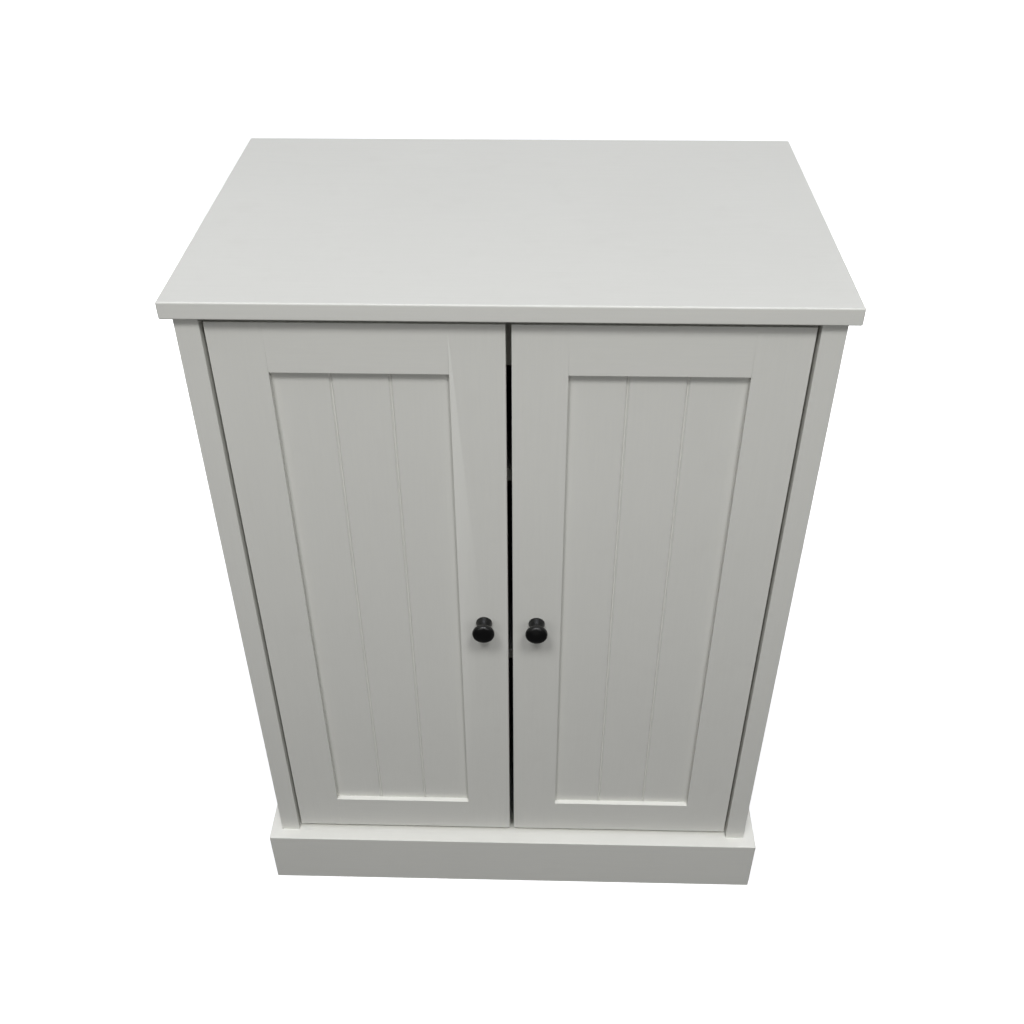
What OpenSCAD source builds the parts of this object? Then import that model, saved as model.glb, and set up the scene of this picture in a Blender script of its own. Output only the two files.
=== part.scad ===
// Low two-door storage cupboard: a board carcass on a planted plinth, an overhanging top, inset
// doors with a grooved panel in a frame, concealed cup hinges, magnetic catches and two shelves.
// Millimetres, +Z up, the doors face -Y. The origin is on the floor, at the middle of the whole
// cupboard's footprint, knobs included.

/* [Carcass] */
// Width over the two side panels
carcass_w = 620; // [540:5:760]
// Depth from the stiles' front face to the back of the back panel
carcass_d = 410; // [350:5:500]
// Height from the floor to the underside of the top
carcass_h = 862; // [800:1:1040]
// Thickness of the sides, bottom, shelves and rails
board_t = 15; // [15:0.5:18]
// Width of each front stile, seen from the front
stile_w = 23.5; // [22:0.5:30]
// Thickness of each front stile
stile_t = 15; // [12:1:18]
// Thickness of the back panel
back_t = 3; // [3:0.5:5]
// Gap between the back panel's edge and the outside of the carcass
back_inset = 2; // [1:1:5]
// Height of the two rails under the top
rail_h = 64; // [60:1:80]

/* [Top] */
// Thickness of the top
top_t = 18; // [15:1:22]
// How far the top stands out over each side
top_side_overhang = 11; // [5:1:14]
// How far the top stands out over the stiles' front face
top_front_overhang = 6; // [3:1:14]
// Radius of the top's corners, seen from above
top_corner_r = 3; // [1:1:8]

/* [Plinth] */
// Height of the plinth
plinth_h = 86; // [76:1:110]
// Thickness of the plinth's boards
plinth_t = 15; // [12:1:18]
// Side of the square corner blocks
corner_block = 20; // [18:1:26]

/* [Doors] */
// Thickness of a door
door_t = 16; // [16:0.5:20]
// How far the doors lie behind the stiles' front face
door_recess = 3; // [2:0.5:6]
// Gap between a door and its stile
door_side_gap = 3; // [2.5:0.1:3.6]
// Gap between the two doors
door_centre_gap = 5.5; // [3:0.5:6]
// Gap between the doors and the top
door_top_gap = 6.5; // [3:0.5:10]
// Gap between the doors and the bottom panel
door_bottom_gap = 8.5; // [2:0.5:10]
// Width of a door's stiles and rails
frame_w = 54; // [50:1:70]
// How far the panel lies behind the frame's face
panel_recess = 6; // [5:0.5:7]
// Thickness of the panel
panel_t = 5; // [4:0.5:5]
// How far the panel enters the frame
panel_bite = 6; // [4:1:8]
// Number of boards that the panel's grooves draw
panel_boards = 3; // [2:1:5]
// Width of a groove in the panel
vee_w = 3; // [2:0.5:5]
// Depth of a groove in the panel
vee_d = 1.5; // [1:0.5:2]

/* [Shelves] */
// Clear height under the lower shelf
lower_clear_h = 304; // [280:1:360]
// Clear height between the two shelves
middle_clear_h = 250; // [200:1:260]
// Gap between a shelf's end and the side panel
shelf_end_gap = 2; // [2:0.5:4]
// How far a shelf lies behind the rail's front face
shelf_setback = 4; // [2:1:20]
// Radius of a shelf pin's peg
peg_r = 2.5; // [2:0.5:3]
// Distance between neighbouring shelf pin holes
peg_step = 32; // [20:1:40]
// Distance from a shelf's front or back edge to its pins
peg_inset = 45; // [40:1:70]

/* [Hinges] */
// Distance from a door's top or bottom edge to the hinge's middle
hinge_inset = 100; // [80:1:140]
// Distance from the door's face back to the hinge pin
pin_depth = 8; // [7.5:0.1:8.5]
// Clearance of the turning door edge from the stile and the rail
swing_clear = 0.75; // [0.5:0.05:1]
// Radius of the hinge pin
hinge_pin_r = 1.5; // [1.2:0.1:1.8]
// Radius of the cup
cup_r = 17.5; // [17:0.5:18]
// Distance from the hinge pin forward to the outside of the cup's floor
cup_past_pin = 4.5; // [4.2:0.1:5]
// Distance from the pin to the cup's middle, across the door
cup_offset = 9.5; // [9:0.5:10]
// Width of the arm, along the pin
arm_w = 14; // [10:1:15]
// Thickness of the arm
arm_t = 2.5; // [2:0.1:2.6]
// Distance from the front of the carcass to the mounting plate
plate_setback = 40; // [38:1:60]
// Length of the mounting plate
plate_len = 50; // [45:1:60]

/* [Knobs] */
// Radius of the knob's head
knob_r = 12.5; // [10:0.5:16]
// How far the knob stands out from the door
knob_out = 23; // [20:1:26]
// Radius of the knob's foot
knob_foot_r = 9; // [8:0.5:10]

/* [Catches] */
// Length of a catch, along the door
catch_w = 44; // [42:1:50]
// Height of a catch
catch_h = 13; // [12:1:16]
// Width of the magnet
magnet_w = 24; // [20:1:26]

/* [Hidden] */
$fn = 48;

// Finishes
paint = [0.83, 0.83, 0.81];
raw_board = [0.80, 0.78, 0.73];
hardboard = [0.62, 0.50, 0.36];
pine = [0.82, 0.68, 0.47];
black_metal = [0.07, 0.07, 0.07];
nickel = [0.72, 0.72, 0.70];
zinc = [0.66, 0.67, 0.69];
white_plastic = [0.90, 0.90, 0.88];
ferrite = [0.20, 0.20, 0.21];

// Fits
fit = 0.1;            // gap around a fastener in its hole
run_fit = 0.05;       // gap around a hinge pin that turns
seat_fit = 0.02;      // gap around a hinge pin that is held
door_fit = 0.4;       // gap between a magnet and its strike plate
over = 1;             // how far a cutting shape runs past the face it cuts
hole_spare = 0.5;     // how much deeper a blind hole is than what it holds
slot_spare = 1;       // how much deeper the door frame's slot is than the panel goes
bolt_play = 0.4;      // gap around a cam bolt in its cam
screw_short = 4;      // how far a screw's tip stops short of the far face
drive_share = 0.6;    // reach of a driver's recess, as a share of its head's radius

// Carcass
half_w = carcass_w / 2;
side_in = half_w - board_t;
side_mid = half_w - board_t / 2;
stile_in = half_w - stile_w;
back_y = carcass_d - back_t;
bottom_z0 = plinth_h - board_t;
bottom_mid_z = plinth_h - board_t / 2;

// Doors, as the left one lies: from -door_out to -door_in
door_out = stile_in - door_side_gap;
door_in = door_centre_gap / 2;
door_z0 = plinth_h + door_bottom_gap;
door_z1 = carcass_h - door_top_gap;
door_y0 = door_recess;
door_y1 = door_recess + door_t;
open_out = door_out - frame_w;
open_in = door_in + frame_w;
open_z0 = door_z0 + frame_w;
open_z1 = door_z1 - frame_w;
panel_y0 = door_y0 + panel_recess;
panel_y1 = panel_y0 + panel_t;
slot_depth = panel_bite + slot_spare;
knob_x = door_in + frame_w / 2;
knob_z = (door_z0 + door_z1) / 2;

// A length rounded up to the next hundredth of a millimetre
function hundredths(x) = ceil(x * 100) / 100;

// Hinges: the pin lies just far enough in for the door's front edge to pass its stile
swing_in = door_side_gap - swing_clear;
pin_in = hundredths((pin_depth ^ 2 - swing_in ^ 2) / (2 * swing_in));
pin_x = door_out - pin_in;
pin_y = door_y0 + pin_depth;
edge_reach = hundredths(norm([pin_in, max(pin_depth, door_t - pin_depth)]));
hinge_zs = [door_z0 + hinge_inset, door_z1 - hinge_inset];
cup_wall = 1;
cup_depth = door_t - pin_depth + cup_past_pin;
cup_x = pin_x - cup_offset;
flange_t = 1.2;
flange_lip = 1.5;
flange_r = cup_r + flange_lip;
flange_screw_gap = 5;
flange_screw_out = cup_r + flange_screw_gap;
flange_screw_r = 1.6;
flange_screw_len = 10;
flange_end_r = 6;
eye_wall = 1.5;
eye_r = hinge_pin_r + eye_wall;
bend_r = 6;
crank_x = 21;         // how far the arm reaches into the cup, past the pin
crank_clear = 3.4;    // gap between the turning door edge and the arm's crank
crank_y = edge_reach + crank_clear + arm_t / 2;
strap_x = 10;         // how far the arm's strap lies outside the pin
strap_y1 = plate_setback + plate_len - pin_y;
plate_h = side_in - pin_x - strap_x - arm_t / 2;
plate_wing_t = 2;
plate_wing_r = 7;
plate_screw_out = 16;
plate_screw_in = 20;
plate_screw_y = plate_setback + plate_screw_in;
plate_screw_r = 1.75;
plate_screw_len = 12;
arm_screw_in = 34;
arm_screw_y = plate_setback + arm_screw_in;
arm_screw_r = 2;
arm_screw_len = 11;

// Rails, shelves and their pins
rail_y0 = pin_y + edge_reach + swing_clear;
rail_y1 = rail_y0 + board_t;
rail_z0 = carcass_h - rail_h;
back_rail_y0 = back_y - board_t;
shelf_y0 = rail_y0 + shelf_setback;
shelf_y1 = back_y - shelf_end_gap;
lower_shelf_z = plinth_h + lower_clear_h;
upper_shelf_z = lower_shelf_z + board_t + middle_clear_h;
peg_ys = [shelf_y0 + peg_inset, shelf_y1 - peg_inset];
peg_in_len = 9;
rest_len = 9;
rest_r = 3;
collar_r = 4.2;
collar_t = 1.5;

// Cam fittings, dowels, screws and nails. A joint is [place on the meeting faces, turn, spin]:
// seen from it, +Z runs into the board that holds the cam and +X to the face the cam is let into
cam_r = 7.5;
cam_h = board_t - 2.5;
cam_reach = 24;
bolt_thread_r = 3;
bolt_thread_len = 11;
bolt_r = 2.5;
bolt_head_r = 3.2;
bolt_head_t = 2.4;
bolt_way_r = 3.6;
dowel_r = 4;
dowel_short = 10;
dowel_long = 20;
cam_end = 55;
dowel_end = 105;
cam_ys = [stile_t + cam_end, back_y - cam_end];
dowel_ys = [stile_t + dowel_end, back_y - dowel_end];
rail_bolt_up = 20;
rail_dowel_up = 44;
INTO_SIDE = [180, 0, 0];
INTO_FLAT = [0, 90, 0];
INTO_RAIL = [90, 0, 90];
INTO_FRONT_EDGE = [-90, 0, 0];
top_cams = [for (y = cam_ys) [[-side_mid, y, carcass_h], INTO_SIDE, 0]];
bottom_cams = [for (y = cam_ys) [[-side_in, y, bottom_mid_z], INTO_FLAT, 0]];
front_rail_cams = [[[-side_in, rail_y0 + board_t / 2, rail_z0 + rail_bolt_up], INTO_RAIL, 0]];
back_rail_cams = [[[-side_in, back_rail_y0 + board_t / 2, rail_z0 + rail_bolt_up], INTO_RAIL, 180]];
foot_rail_cams = [[[-side_in, back_rail_y0 + board_t / 2, rail_bolt_up], INTO_RAIL, 180]];
top_dowels = [for (y = dowel_ys) [[-side_mid, y, carcass_h], INTO_SIDE, 0]];
bottom_dowels = [for (y = dowel_ys) [[-side_in, y, bottom_mid_z], INTO_FLAT, 0]];
front_rail_dowels = [[[-side_in, rail_y0 + board_t / 2, rail_z0 + rail_dowel_up], INTO_RAIL, 0]];
back_rail_dowels = [[[-side_in, back_rail_y0 + board_t / 2, rail_z0 + rail_dowel_up], INTO_RAIL, 0]];
foot_rail_dowels = [[[-side_in, back_rail_y0 + board_t / 2, rail_dowel_up], INTO_RAIL, 0]];
stile_dowel_end = 140;
stile_dowel_zs = [stile_dowel_end, carcass_h / 2, carcass_h - stile_dowel_end];
stile_dowels = [for (z = stile_dowel_zs) [[-side_mid, stile_t, z], INTO_FRONT_EDGE, 0]];
screw_r = 1.75;
screw_head_r = 3.5;
screw_head_h = 2;
drive_w = 0.8;
drive_deep = 1.2;
plinth_screw_len = board_t + plinth_t - screw_short;
plinth_screw_z = 35;
plinth_screw_end = 50;
plinth_screw_ys = [stile_t + plinth_screw_end, back_y - plinth_screw_end];
block_screw_len = corner_block + plinth_t - screw_short;
block_z0 = 6;
block_gap = 5;
block_z1 = bottom_z0 - block_gap;
block_screw_end = 14;
block_screw_zs = [block_z0 + block_screw_end, block_z1 - block_screw_end];
nail_r = 0.75;
nail_in = 11;
nail_head_r = 1.6;
nail_head_t = 0.6;
nail_sink = 0.05;
nail_end = 60;
nail_rows = 7;
nail_edge_in = 30;
nail_x_end = 90;
nail_xs = [for (k = [-3 : 2 : 3]) k * (half_w - nail_x_end) / 3];
back_z0 = 10;
back_top_gap = 1;
back_z1 = carcass_h - back_top_gap;

// Catches
strike_w = 28;
strike_h = 10;
strike_t = 1.2;
catch_x = knob_x;
catch_z = rail_z0 - catch_h / 2;
magnet_y0 = door_y1 + strike_t + door_fit;
magnet_h = 7;
magnet_d = 12;
magnet_proud = 0.6;
catch_y0 = magnet_y0 + magnet_proud;
catch_screw_end = 5;
catch_screw_out = catch_w / 2 - catch_screw_end;
catch_screw_bite = 12;
catch_screw_len = catch_h + catch_screw_bite;
strike_screw_len = 9;
strike_screw_r = 1.5;

// Knobs
knob_foot_t = 3;
knob_neck_r = 6;
knob_head_t = 10;
knob_rim_r = 3.5;
knob_screw_r = 2;
knob_screw_bite = 9;
knob_screw_head_r = 4.2;
knob_screw_head_h = 2.4;

// Everything is drawn with Y = 0 on the stiles' front face, and place() puts it in the frame
front_reach = max(plinth_t, top_front_overhang, knob_out - door_recess);
face_y = (front_reach - carcass_d) / 2;

// ---- Helpers ----

module place() {
    translate([0, face_y, 0]) children();
}

module flip() {
    mirror([1, 0, 0]) children();
}

module both() {
    children();
    flip() children();
}

module block(low, high) {
    translate(low) cube(high - low);
}

module at_joints(joints) {
    for (j = joints) translate(j[0]) rotate(j[1]) rotate([0, 0, j[2]]) children();
}

// Turns a shape that is drawn along +Z to run along +Y or +X
module along_y() {
    rotate([-90, 0, 0]) children();
}

module along_x() {
    rotate([0, 90, 0]) children();
}

// A cross recess for a driver, in a head whose outer face is at z = 0
module drive_cross(arm) {
    translate([-arm, -drive_w / 2, 0]) cube([2 * arm, drive_w, drive_deep + over]);
    translate([-drive_w / 2, -arm, 0]) cube([drive_w, 2 * arm, drive_deep + over]);
}

// A countersunk screw: its head's face is at z = 0 and it points to -Z
module sunk_screw(r, len, head_r) {
    difference() {
        union() {
            translate([0, 0, -len]) cylinder(r = r, h = len);
            translate([0, 0, -screw_head_h]) cylinder(r1 = r, r2 = head_r, h = screw_head_h);
        }
        translate([0, 0, -drive_deep]) drive_cross(head_r * drive_share);
    }
}

module sunk_screw_hole(r, len, head_r) {
    translate([0, 0, -len - hole_spare]) cylinder(r = r + fit, h = len + hole_spare + over);
    translate([0, 0, -screw_head_h]) cylinder(r1 = r + fit, r2 = head_r + fit, h = screw_head_h);
    cylinder(r = head_r + fit, h = over);
}

// ---- Cam fittings and dowels ----

module cam_bolt() {
    translate([0, 0, -bolt_thread_len]) cylinder(r = bolt_thread_r, h = bolt_thread_len);
    cylinder(r = bolt_r, h = cam_reach);
    translate([0, 0, cam_reach]) cylinder(r = bolt_head_r, h = bolt_head_t);
}

module cam_bolt_hole() {
    translate([0, 0, -bolt_thread_len - hole_spare])
        cylinder(r = bolt_thread_r + fit, h = bolt_thread_len + hole_spare + over);
}

module cam_body_cut() {
    cylinder(r = bolt_way_r, h = cam_reach + bolt_head_t);
    translate([board_t / 2 - cam_h - fit, 0, cam_reach])
        along_x() cylinder(r = cam_r + fit, h = cam_h + over);
}

// The cam, with the way that its bolt enters by and a hollow for the bolt's head
module cam_lock() {
    translate([0, 0, cam_reach]) difference() {
        translate([board_t / 2 - cam_h, 0, 0]) along_x() cylinder(r = cam_r, h = cam_h - fit);
        translate([0, 0, -cam_r - over]) cylinder(r = bolt_r + bolt_play, h = cam_r + 2 * over);
        translate([0, 0, -bolt_play])
            cylinder(r = bolt_head_r + bolt_play, h = bolt_head_t + 2 * bolt_play);
        translate([board_t / 2 - fit - drive_deep, 0, 0]) along_x() drive_cross(cam_r * drive_share);
    }
}

module dowel() {
    translate([0, 0, -dowel_short]) cylinder(r = dowel_r, h = dowel_short + dowel_long);
}

module dowel_hole() {
    translate([0, 0, -dowel_short - hole_spare])
        cylinder(r = dowel_r + fit, h = dowel_short + dowel_long + 2 * hole_spare);
}

module joint_holes(cams, dowels) {
    at_joints(cams) cam_bolt_hole();
    at_joints(cams) cam_body_cut();
    at_joints(dowels) dowel_hole();
}

// ---- Nails and plinth screws ----

// One nail, driven towards -Y with its head just under the back face
module nail() {
    translate([0, carcass_d - nail_sink - nail_head_t, 0]) along_y() {
        cylinder(r = nail_head_r, h = nail_head_t);
        translate([0, 0, -back_t - nail_in]) cylinder(r = nail_r, h = back_t + nail_in);
    }
}

module nail_hole() {
    head_y = carcass_d - nail_sink - nail_head_t;
    translate([0, head_y, 0]) along_y() cylinder(r = nail_head_r + fit, h = nail_head_t + over);
    translate([0, head_y - back_t - nail_in - hole_spare, 0])
        along_y() cylinder(r = nail_r + fit, h = back_t + nail_in + hole_spare + over);
}

module at_side_nails() {
    for (i = [0 : nail_rows - 1])
        translate([-side_mid, 0, nail_end + i * (carcass_h - 2 * nail_end) / (nail_rows - 1)])
            children();
}

module at_top_nails() {
    for (x = nail_xs) translate([x, 0, carcass_h - nail_edge_in / 2]) children();
}

module at_bottom_nails() {
    for (x = nail_xs) translate([x, 0, bottom_mid_z]) children();
}

module at_plinth_side_screws() {
    for (y = plinth_screw_ys) translate([-side_in, y, plinth_screw_z]) along_x() children();
}

module at_block_front_screws() {
    translate([-stile_in + corner_block / 2, corner_block, block_screw_zs[0]])
        along_y() children();
}

module at_block_side_screws() {
    translate([-stile_in + corner_block, corner_block / 2, block_screw_zs[1]])
        along_x() children();
}

module plinth_side_screw_holes() {
    at_plinth_side_screws() sunk_screw_hole(screw_r, plinth_screw_len, screw_head_r);
}

module block_screw_holes() {
    at_block_front_screws() sunk_screw_hole(screw_r, block_screw_len, screw_head_r);
    at_block_side_screws() sunk_screw_hole(screw_r, block_screw_len, screw_head_r);
}

// ---- Carcass ----

module top_panel() place() color(paint) difference() {
    r = top_corner_r;
    w = half_w + top_side_overhang;
    y0 = -top_front_overhang;
    translate([0, 0, carcass_h]) linear_extrude(top_t) {
        translate([-w, y0 + r]) square([2 * w, carcass_d - y0 - 2 * r]);
        translate([r - w, y0]) square([2 * (w - r), carcass_d - y0]);
        for (x = [r - w, w - r], y = [y0 + r, carcass_d - r]) translate([x, y]) circle(r = r);
    }
    both() joint_holes(top_cams, top_dowels);
}

// Rows of holes for the shelf pins, so that each shelf can go a step up or down
module shelf_pin_holes() {
    for (y = peg_ys, z = [lower_shelf_z, upper_shelf_z], i = [-1 : 1])
        translate([-side_in - peg_in_len - hole_spare, y, z - rest_r + i * peg_step])
            along_x() cylinder(r = peg_r + fit, h = peg_in_len + hole_spare + over);
}

module side_panel() difference() {
    block([-half_w, stile_t, 0], [-side_in, back_y, carcass_h]);
    joint_holes(top_cams, top_dowels);
    joint_holes(bottom_cams, bottom_dowels);
    joint_holes(front_rail_cams, front_rail_dowels);
    joint_holes(back_rail_cams, back_rail_dowels);
    joint_holes(foot_rail_cams, foot_rail_dowels);
    at_joints(stile_dowels) dowel_hole();
    shelf_pin_holes();
    plate_screw_holes();
    plinth_side_screw_holes();
    block_screw_holes();
    at_side_nails() nail_hole();
}

module left_side_panel() place() color(paint) side_panel();
module right_side_panel() place() color(paint) flip() side_panel();

module front_stile() difference() {
    block([-half_w, 0, 0], [-stile_in, stile_t, carcass_h]);
    at_joints(stile_dowels) dowel_hole();
    block_screw_holes();
}

module left_front_stile() place() color(paint) front_stile();
module right_front_stile() place() color(paint) flip() front_stile();

module bottom_panel() place() color(paint) difference() {
    union() {
        block([-side_in, stile_t, bottom_z0], [side_in, back_y, plinth_h]);
        block([-stile_in, 0, bottom_z0], [stile_in, stile_t, plinth_h]);
    }
    both() joint_holes(bottom_cams, bottom_dowels);
    at_bottom_nails() nail_hole();
}

module back_panel() place() color(hardboard) difference() {
    block([back_inset - half_w, back_y, back_z0], [half_w - back_inset, carcass_d, back_z1]);
    both() at_side_nails() nail_hole();
    at_top_nails() nail_hole();
    at_bottom_nails() nail_hole();
}

module rail(y0, z0, z1) {
    block([-side_in, y0, z0], [side_in, y0 + board_t, z1]);
}

module top_front_rail() place() color(paint) difference() {
    rail(rail_y0, rail_z0, carcass_h);
    both() joint_holes(front_rail_cams, front_rail_dowels);
    both() at_catch_screws() sunk_screw_hole(screw_r, catch_screw_len, screw_head_r);
}

module top_back_rail() place() color(paint) difference() {
    rail(back_rail_y0, rail_z0, carcass_h);
    both() joint_holes(back_rail_cams, back_rail_dowels);
    at_top_nails() nail_hole();
}

module back_foot_rail() place() color(raw_board) difference() {
    rail(back_rail_y0, 0, bottom_z0);
    both() joint_holes(foot_rail_cams, foot_rail_dowels);
}

// ---- Plinth ----

// The front board and the side boards meet in mitres at the front corners
module plinth_front() place() color(paint) difference() {
    out = half_w + plinth_t;
    linear_extrude(plinth_h)
        polygon([[-out, -plinth_t], [out, -plinth_t], [half_w, 0], [-half_w, 0]]);
    both() block_screw_holes();
}

module plinth_side() difference() {
    out = half_w + plinth_t;
    linear_extrude(plinth_h)
        polygon([[-out, -plinth_t], [-half_w, 0], [-half_w, carcass_d], [-out, carcass_d]]);
    plinth_side_screw_holes();
}

module plinth_left() place() color(paint) plinth_side();
module plinth_right() place() color(paint) flip() plinth_side();

module plinth_corner_blocks() place() color(pine) both() difference() {
    block([-stile_in, 0, block_z0], [corner_block - stile_in, corner_block, block_z1]);
    block_screw_holes();
}

module plinth_screws() place() color(zinc) both() {
    at_plinth_side_screws() sunk_screw(screw_r, plinth_screw_len, screw_head_r);
    at_block_front_screws() sunk_screw(screw_r, block_screw_len, screw_head_r);
    at_block_side_screws() sunk_screw(screw_r, block_screw_len, screw_head_r);
}

// ---- Shelves ----

module shelf(z) {
    x = side_in - shelf_end_gap;
    block([-x, shelf_y0, z], [x, shelf_y1, z + board_t]);
}

module upper_shelf() place() color(paint) shelf(upper_shelf_z);
module lower_shelf() place() color(paint) shelf(lower_shelf_z);

// Four pins: a peg in the side panel, a collar on its face and a round rest under the shelf
module shelf_pins(shelf_z) both() for (y = peg_ys)
    translate([-side_in, y, shelf_z - rest_r]) {
        translate([-peg_in_len, 0, 0]) along_x() cylinder(r = peg_r, h = peg_in_len);
        along_x() cylinder(r = collar_r, h = collar_t);
        along_x() cylinder(r = rest_r, h = rest_len);
    }

module upper_shelf_pins() place() color(nickel) shelf_pins(upper_shelf_z);
module lower_shelf_pins() place() color(nickel) shelf_pins(lower_shelf_z);

// ---- Carcass fasteners ----

module cam_bolts() place() color(zinc) both()
    at_joints(concat(top_cams, bottom_cams, front_rail_cams, back_rail_cams, foot_rail_cams))
        cam_bolt();

module cam_locks() place() color(zinc) both()
    at_joints(concat(top_cams, bottom_cams, front_rail_cams, back_rail_cams, foot_rail_cams))
        cam_lock();

module wood_dowels() place() color(pine) both() {
    at_joints(concat(top_dowels, bottom_dowels, front_rail_dowels, back_rail_dowels, foot_rail_dowels))
        dowel();
    at_joints(stile_dowels) dowel();
}

module back_panel_nails() place() color(zinc) {
    both() at_side_nails() nail();
    at_top_nails() nail();
    at_bottom_nails() nail();
}

// ---- Hinges ----

module at_hinges() {
    for (z = hinge_zs) translate([-pin_x, pin_y, z]) children();
}

// The arm's outline from above, with the pin at the middle: an eye, a reach into the cup, a crank
// back out of it, and a strap that runs along the mounting plate
module arm_outline() {
    half_t = arm_t / 2;
    circle(r = eye_r);
    translate([0, -half_t]) square([crank_x - bend_r, arm_t]);
    arm_bend([crank_x - bend_r, bend_r], [0, -1]);
    translate([crank_x - half_t, bend_r]) square([arm_t, crank_y - 2 * bend_r]);
    arm_bend([crank_x - bend_r, crank_y - bend_r], [0, 0]);
    translate([bend_r - strap_x, crank_y - half_t])
        square([crank_x + strap_x - 2 * bend_r, arm_t]);
    arm_bend([bend_r - strap_x, crank_y + bend_r], [-1, -1]);
    translate([-strap_x - half_t, crank_y + bend_r])
        square([arm_t, strap_y1 - crank_y - bend_r]);
}

// A quarter ring round the point mid, in the quarter whose low corner is quarter times the radius
module arm_bend(mid, quarter) {
    outer = bend_r + arm_t / 2;
    translate(mid) intersection() {
        difference() {
            circle(r = outer);
            circle(r = bend_r - arm_t / 2);
        }
        translate(quarter * outer) square(outer);
    }
}

module hinge_arms() at_hinges() difference() {
    translate([0, 0, -arm_w / 2]) linear_extrude(arm_w) arm_outline();
    translate([0, 0, -arm_w]) cylinder(r = hinge_pin_r + run_fit, h = 2 * arm_w);
    translate([-strap_x - arm_t, arm_screw_y - pin_y, 0])
        along_x() cylinder(r = arm_screw_r + 2 * fit, h = 2 * arm_t);
}

module left_hinge_arms() place() color(nickel) hinge_arms();
module right_hinge_arms() place() color(nickel) flip() hinge_arms();

module at_plates() {
    for (z = hinge_zs) translate([-side_in, 0, z]) children();
}

module at_plate_screws() at_plates() for (s = [-1, 1])
    translate([plate_wing_t, plate_screw_y, s * plate_screw_out]) along_x() children();

module plate_screw_holes() {
    at_plate_screws() sunk_screw_hole(plate_screw_r, plate_screw_len, screw_head_r);
}

// The mounting plate: a wing with a screw above and below, and a raised seat for the arm
module hinge_plates() difference() {
    at_plates() {
        translate([0, plate_setback, -arm_w / 2]) cube([plate_h, plate_len, arm_w]);
        translate([0, plate_screw_y - plate_wing_r, -plate_screw_out])
            cube([plate_wing_t, 2 * plate_wing_r, 2 * plate_screw_out]);
        for (s = [-1, 1]) translate([0, plate_screw_y, s * plate_screw_out])
            along_x() cylinder(r = plate_wing_r, h = plate_wing_t);
    }
    plate_screw_holes();
    at_arm_screws() translate([0, 0, -arm_screw_len - hole_spare])
        cylinder(r = arm_screw_r + fit, h = arm_screw_len + hole_spare + over);
}

module left_hinge_plates() place() color(nickel) hinge_plates();
module right_hinge_plates() place() color(nickel) flip() hinge_plates();

module hinge_plate_screws() {
    at_plate_screws() sunk_screw(plate_screw_r, plate_screw_len, screw_head_r);
}

module left_hinge_plate_screws() place() color(zinc) hinge_plate_screws();
module right_hinge_plate_screws() place() color(zinc) flip() hinge_plate_screws();

module at_arm_screws() {
    for (z = hinge_zs) translate([arm_t - side_in + plate_h, arm_screw_y, z]) along_x() children();
}

module hinge_arm_screws() at_arm_screws() difference() {
    union() {
        translate([0, 0, -arm_screw_len]) cylinder(r = arm_screw_r, h = arm_screw_len);
        cylinder(r = 2 * arm_screw_r, h = arm_screw_r);
    }
    translate([0, 0, arm_screw_r - drive_deep]) drive_cross(2 * arm_screw_r * drive_share);
}

module left_hinge_arm_screws() place() color(zinc) hinge_arm_screws();
module right_hinge_arm_screws() place() color(zinc) flip() hinge_arm_screws();

module at_cups() {
    for (z = hinge_zs) translate([-cup_x, door_y1, z]) along_y() children();
}

module at_cup_screws() at_cups() for (s = [-1, 1])
    translate([0, s * flange_screw_out, flange_t]) children();

module cup_screw_holes() {
    at_cup_screws() sunk_screw_hole(flange_screw_r, flange_screw_len, 2 * flange_screw_r);
}

module hinge_cups() difference() {
    at_cups() {
        translate([0, 0, -cup_depth]) cylinder(r = cup_r, h = cup_depth);
        linear_extrude(flange_t) {
            circle(r = flange_r);
            translate([-flange_end_r, -flange_screw_out])
                square([2 * flange_end_r, 2 * flange_screw_out]);
            for (s = [-1, 1]) translate([0, s * flange_screw_out]) circle(r = flange_end_r);
        }
    }
    at_cups() translate([0, 0, cup_wall - cup_depth])
        cylinder(r = cup_r - cup_wall, h = cup_depth + over);
    at_hinges() translate([0, 0, -2 * cup_r]) cylinder(r = hinge_pin_r + seat_fit, h = 4 * cup_r);
    cup_screw_holes();
}

module left_hinge_cups() place() color(nickel) hinge_cups();
module right_hinge_cups() place() color(nickel) flip() hinge_cups();

// A pin runs from wall to wall of its cup, and ends flush with the cup's outside
module hinge_pins() intersection() {
    at_hinges() translate([0, 0, -cup_r]) cylinder(r = hinge_pin_r, h = 2 * cup_r);
    at_cups() translate([0, 0, -cup_depth]) cylinder(r = cup_r, h = cup_depth);
}

module left_hinge_pins() place() color(zinc) hinge_pins();
module right_hinge_pins() place() color(zinc) flip() hinge_pins();

module cup_screws() {
    at_cup_screws() sunk_screw(flange_screw_r, flange_screw_len, 2 * flange_screw_r);
}

module left_cup_screws() place() color(zinc) cup_screws();
module right_cup_screws() place() color(zinc) flip() cup_screws();

// ---- Doors ----

module door_hinge_stile() difference() {
    block([-door_out, door_y0, door_z0], [-open_out, door_y1, door_z1]);
    block([-open_out - slot_depth, panel_y0, door_z0 - over],
          [over - open_out, panel_y1, door_z1 + over]);
    at_cups() translate([0, 0, -cup_depth - fit]) cylinder(r = cup_r + fit, h = cup_depth + over);
    cup_screw_holes();
}

module door_knob_stile() difference() {
    block([-open_in, door_y0, door_z0], [-door_in, door_y1, door_z1]);
    block([-open_in - over, panel_y0, door_z0 - over],
          [slot_depth - open_in, panel_y1, door_z1 + over]);
    at_knob() translate([0, 0, -door_t - over])
        cylinder(r = knob_screw_r + 2 * fit, h = door_t + 2 * over);
    at_strike_screw() sunk_screw_hole(strike_screw_r, strike_screw_len, 2 * strike_screw_r);
}

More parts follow.
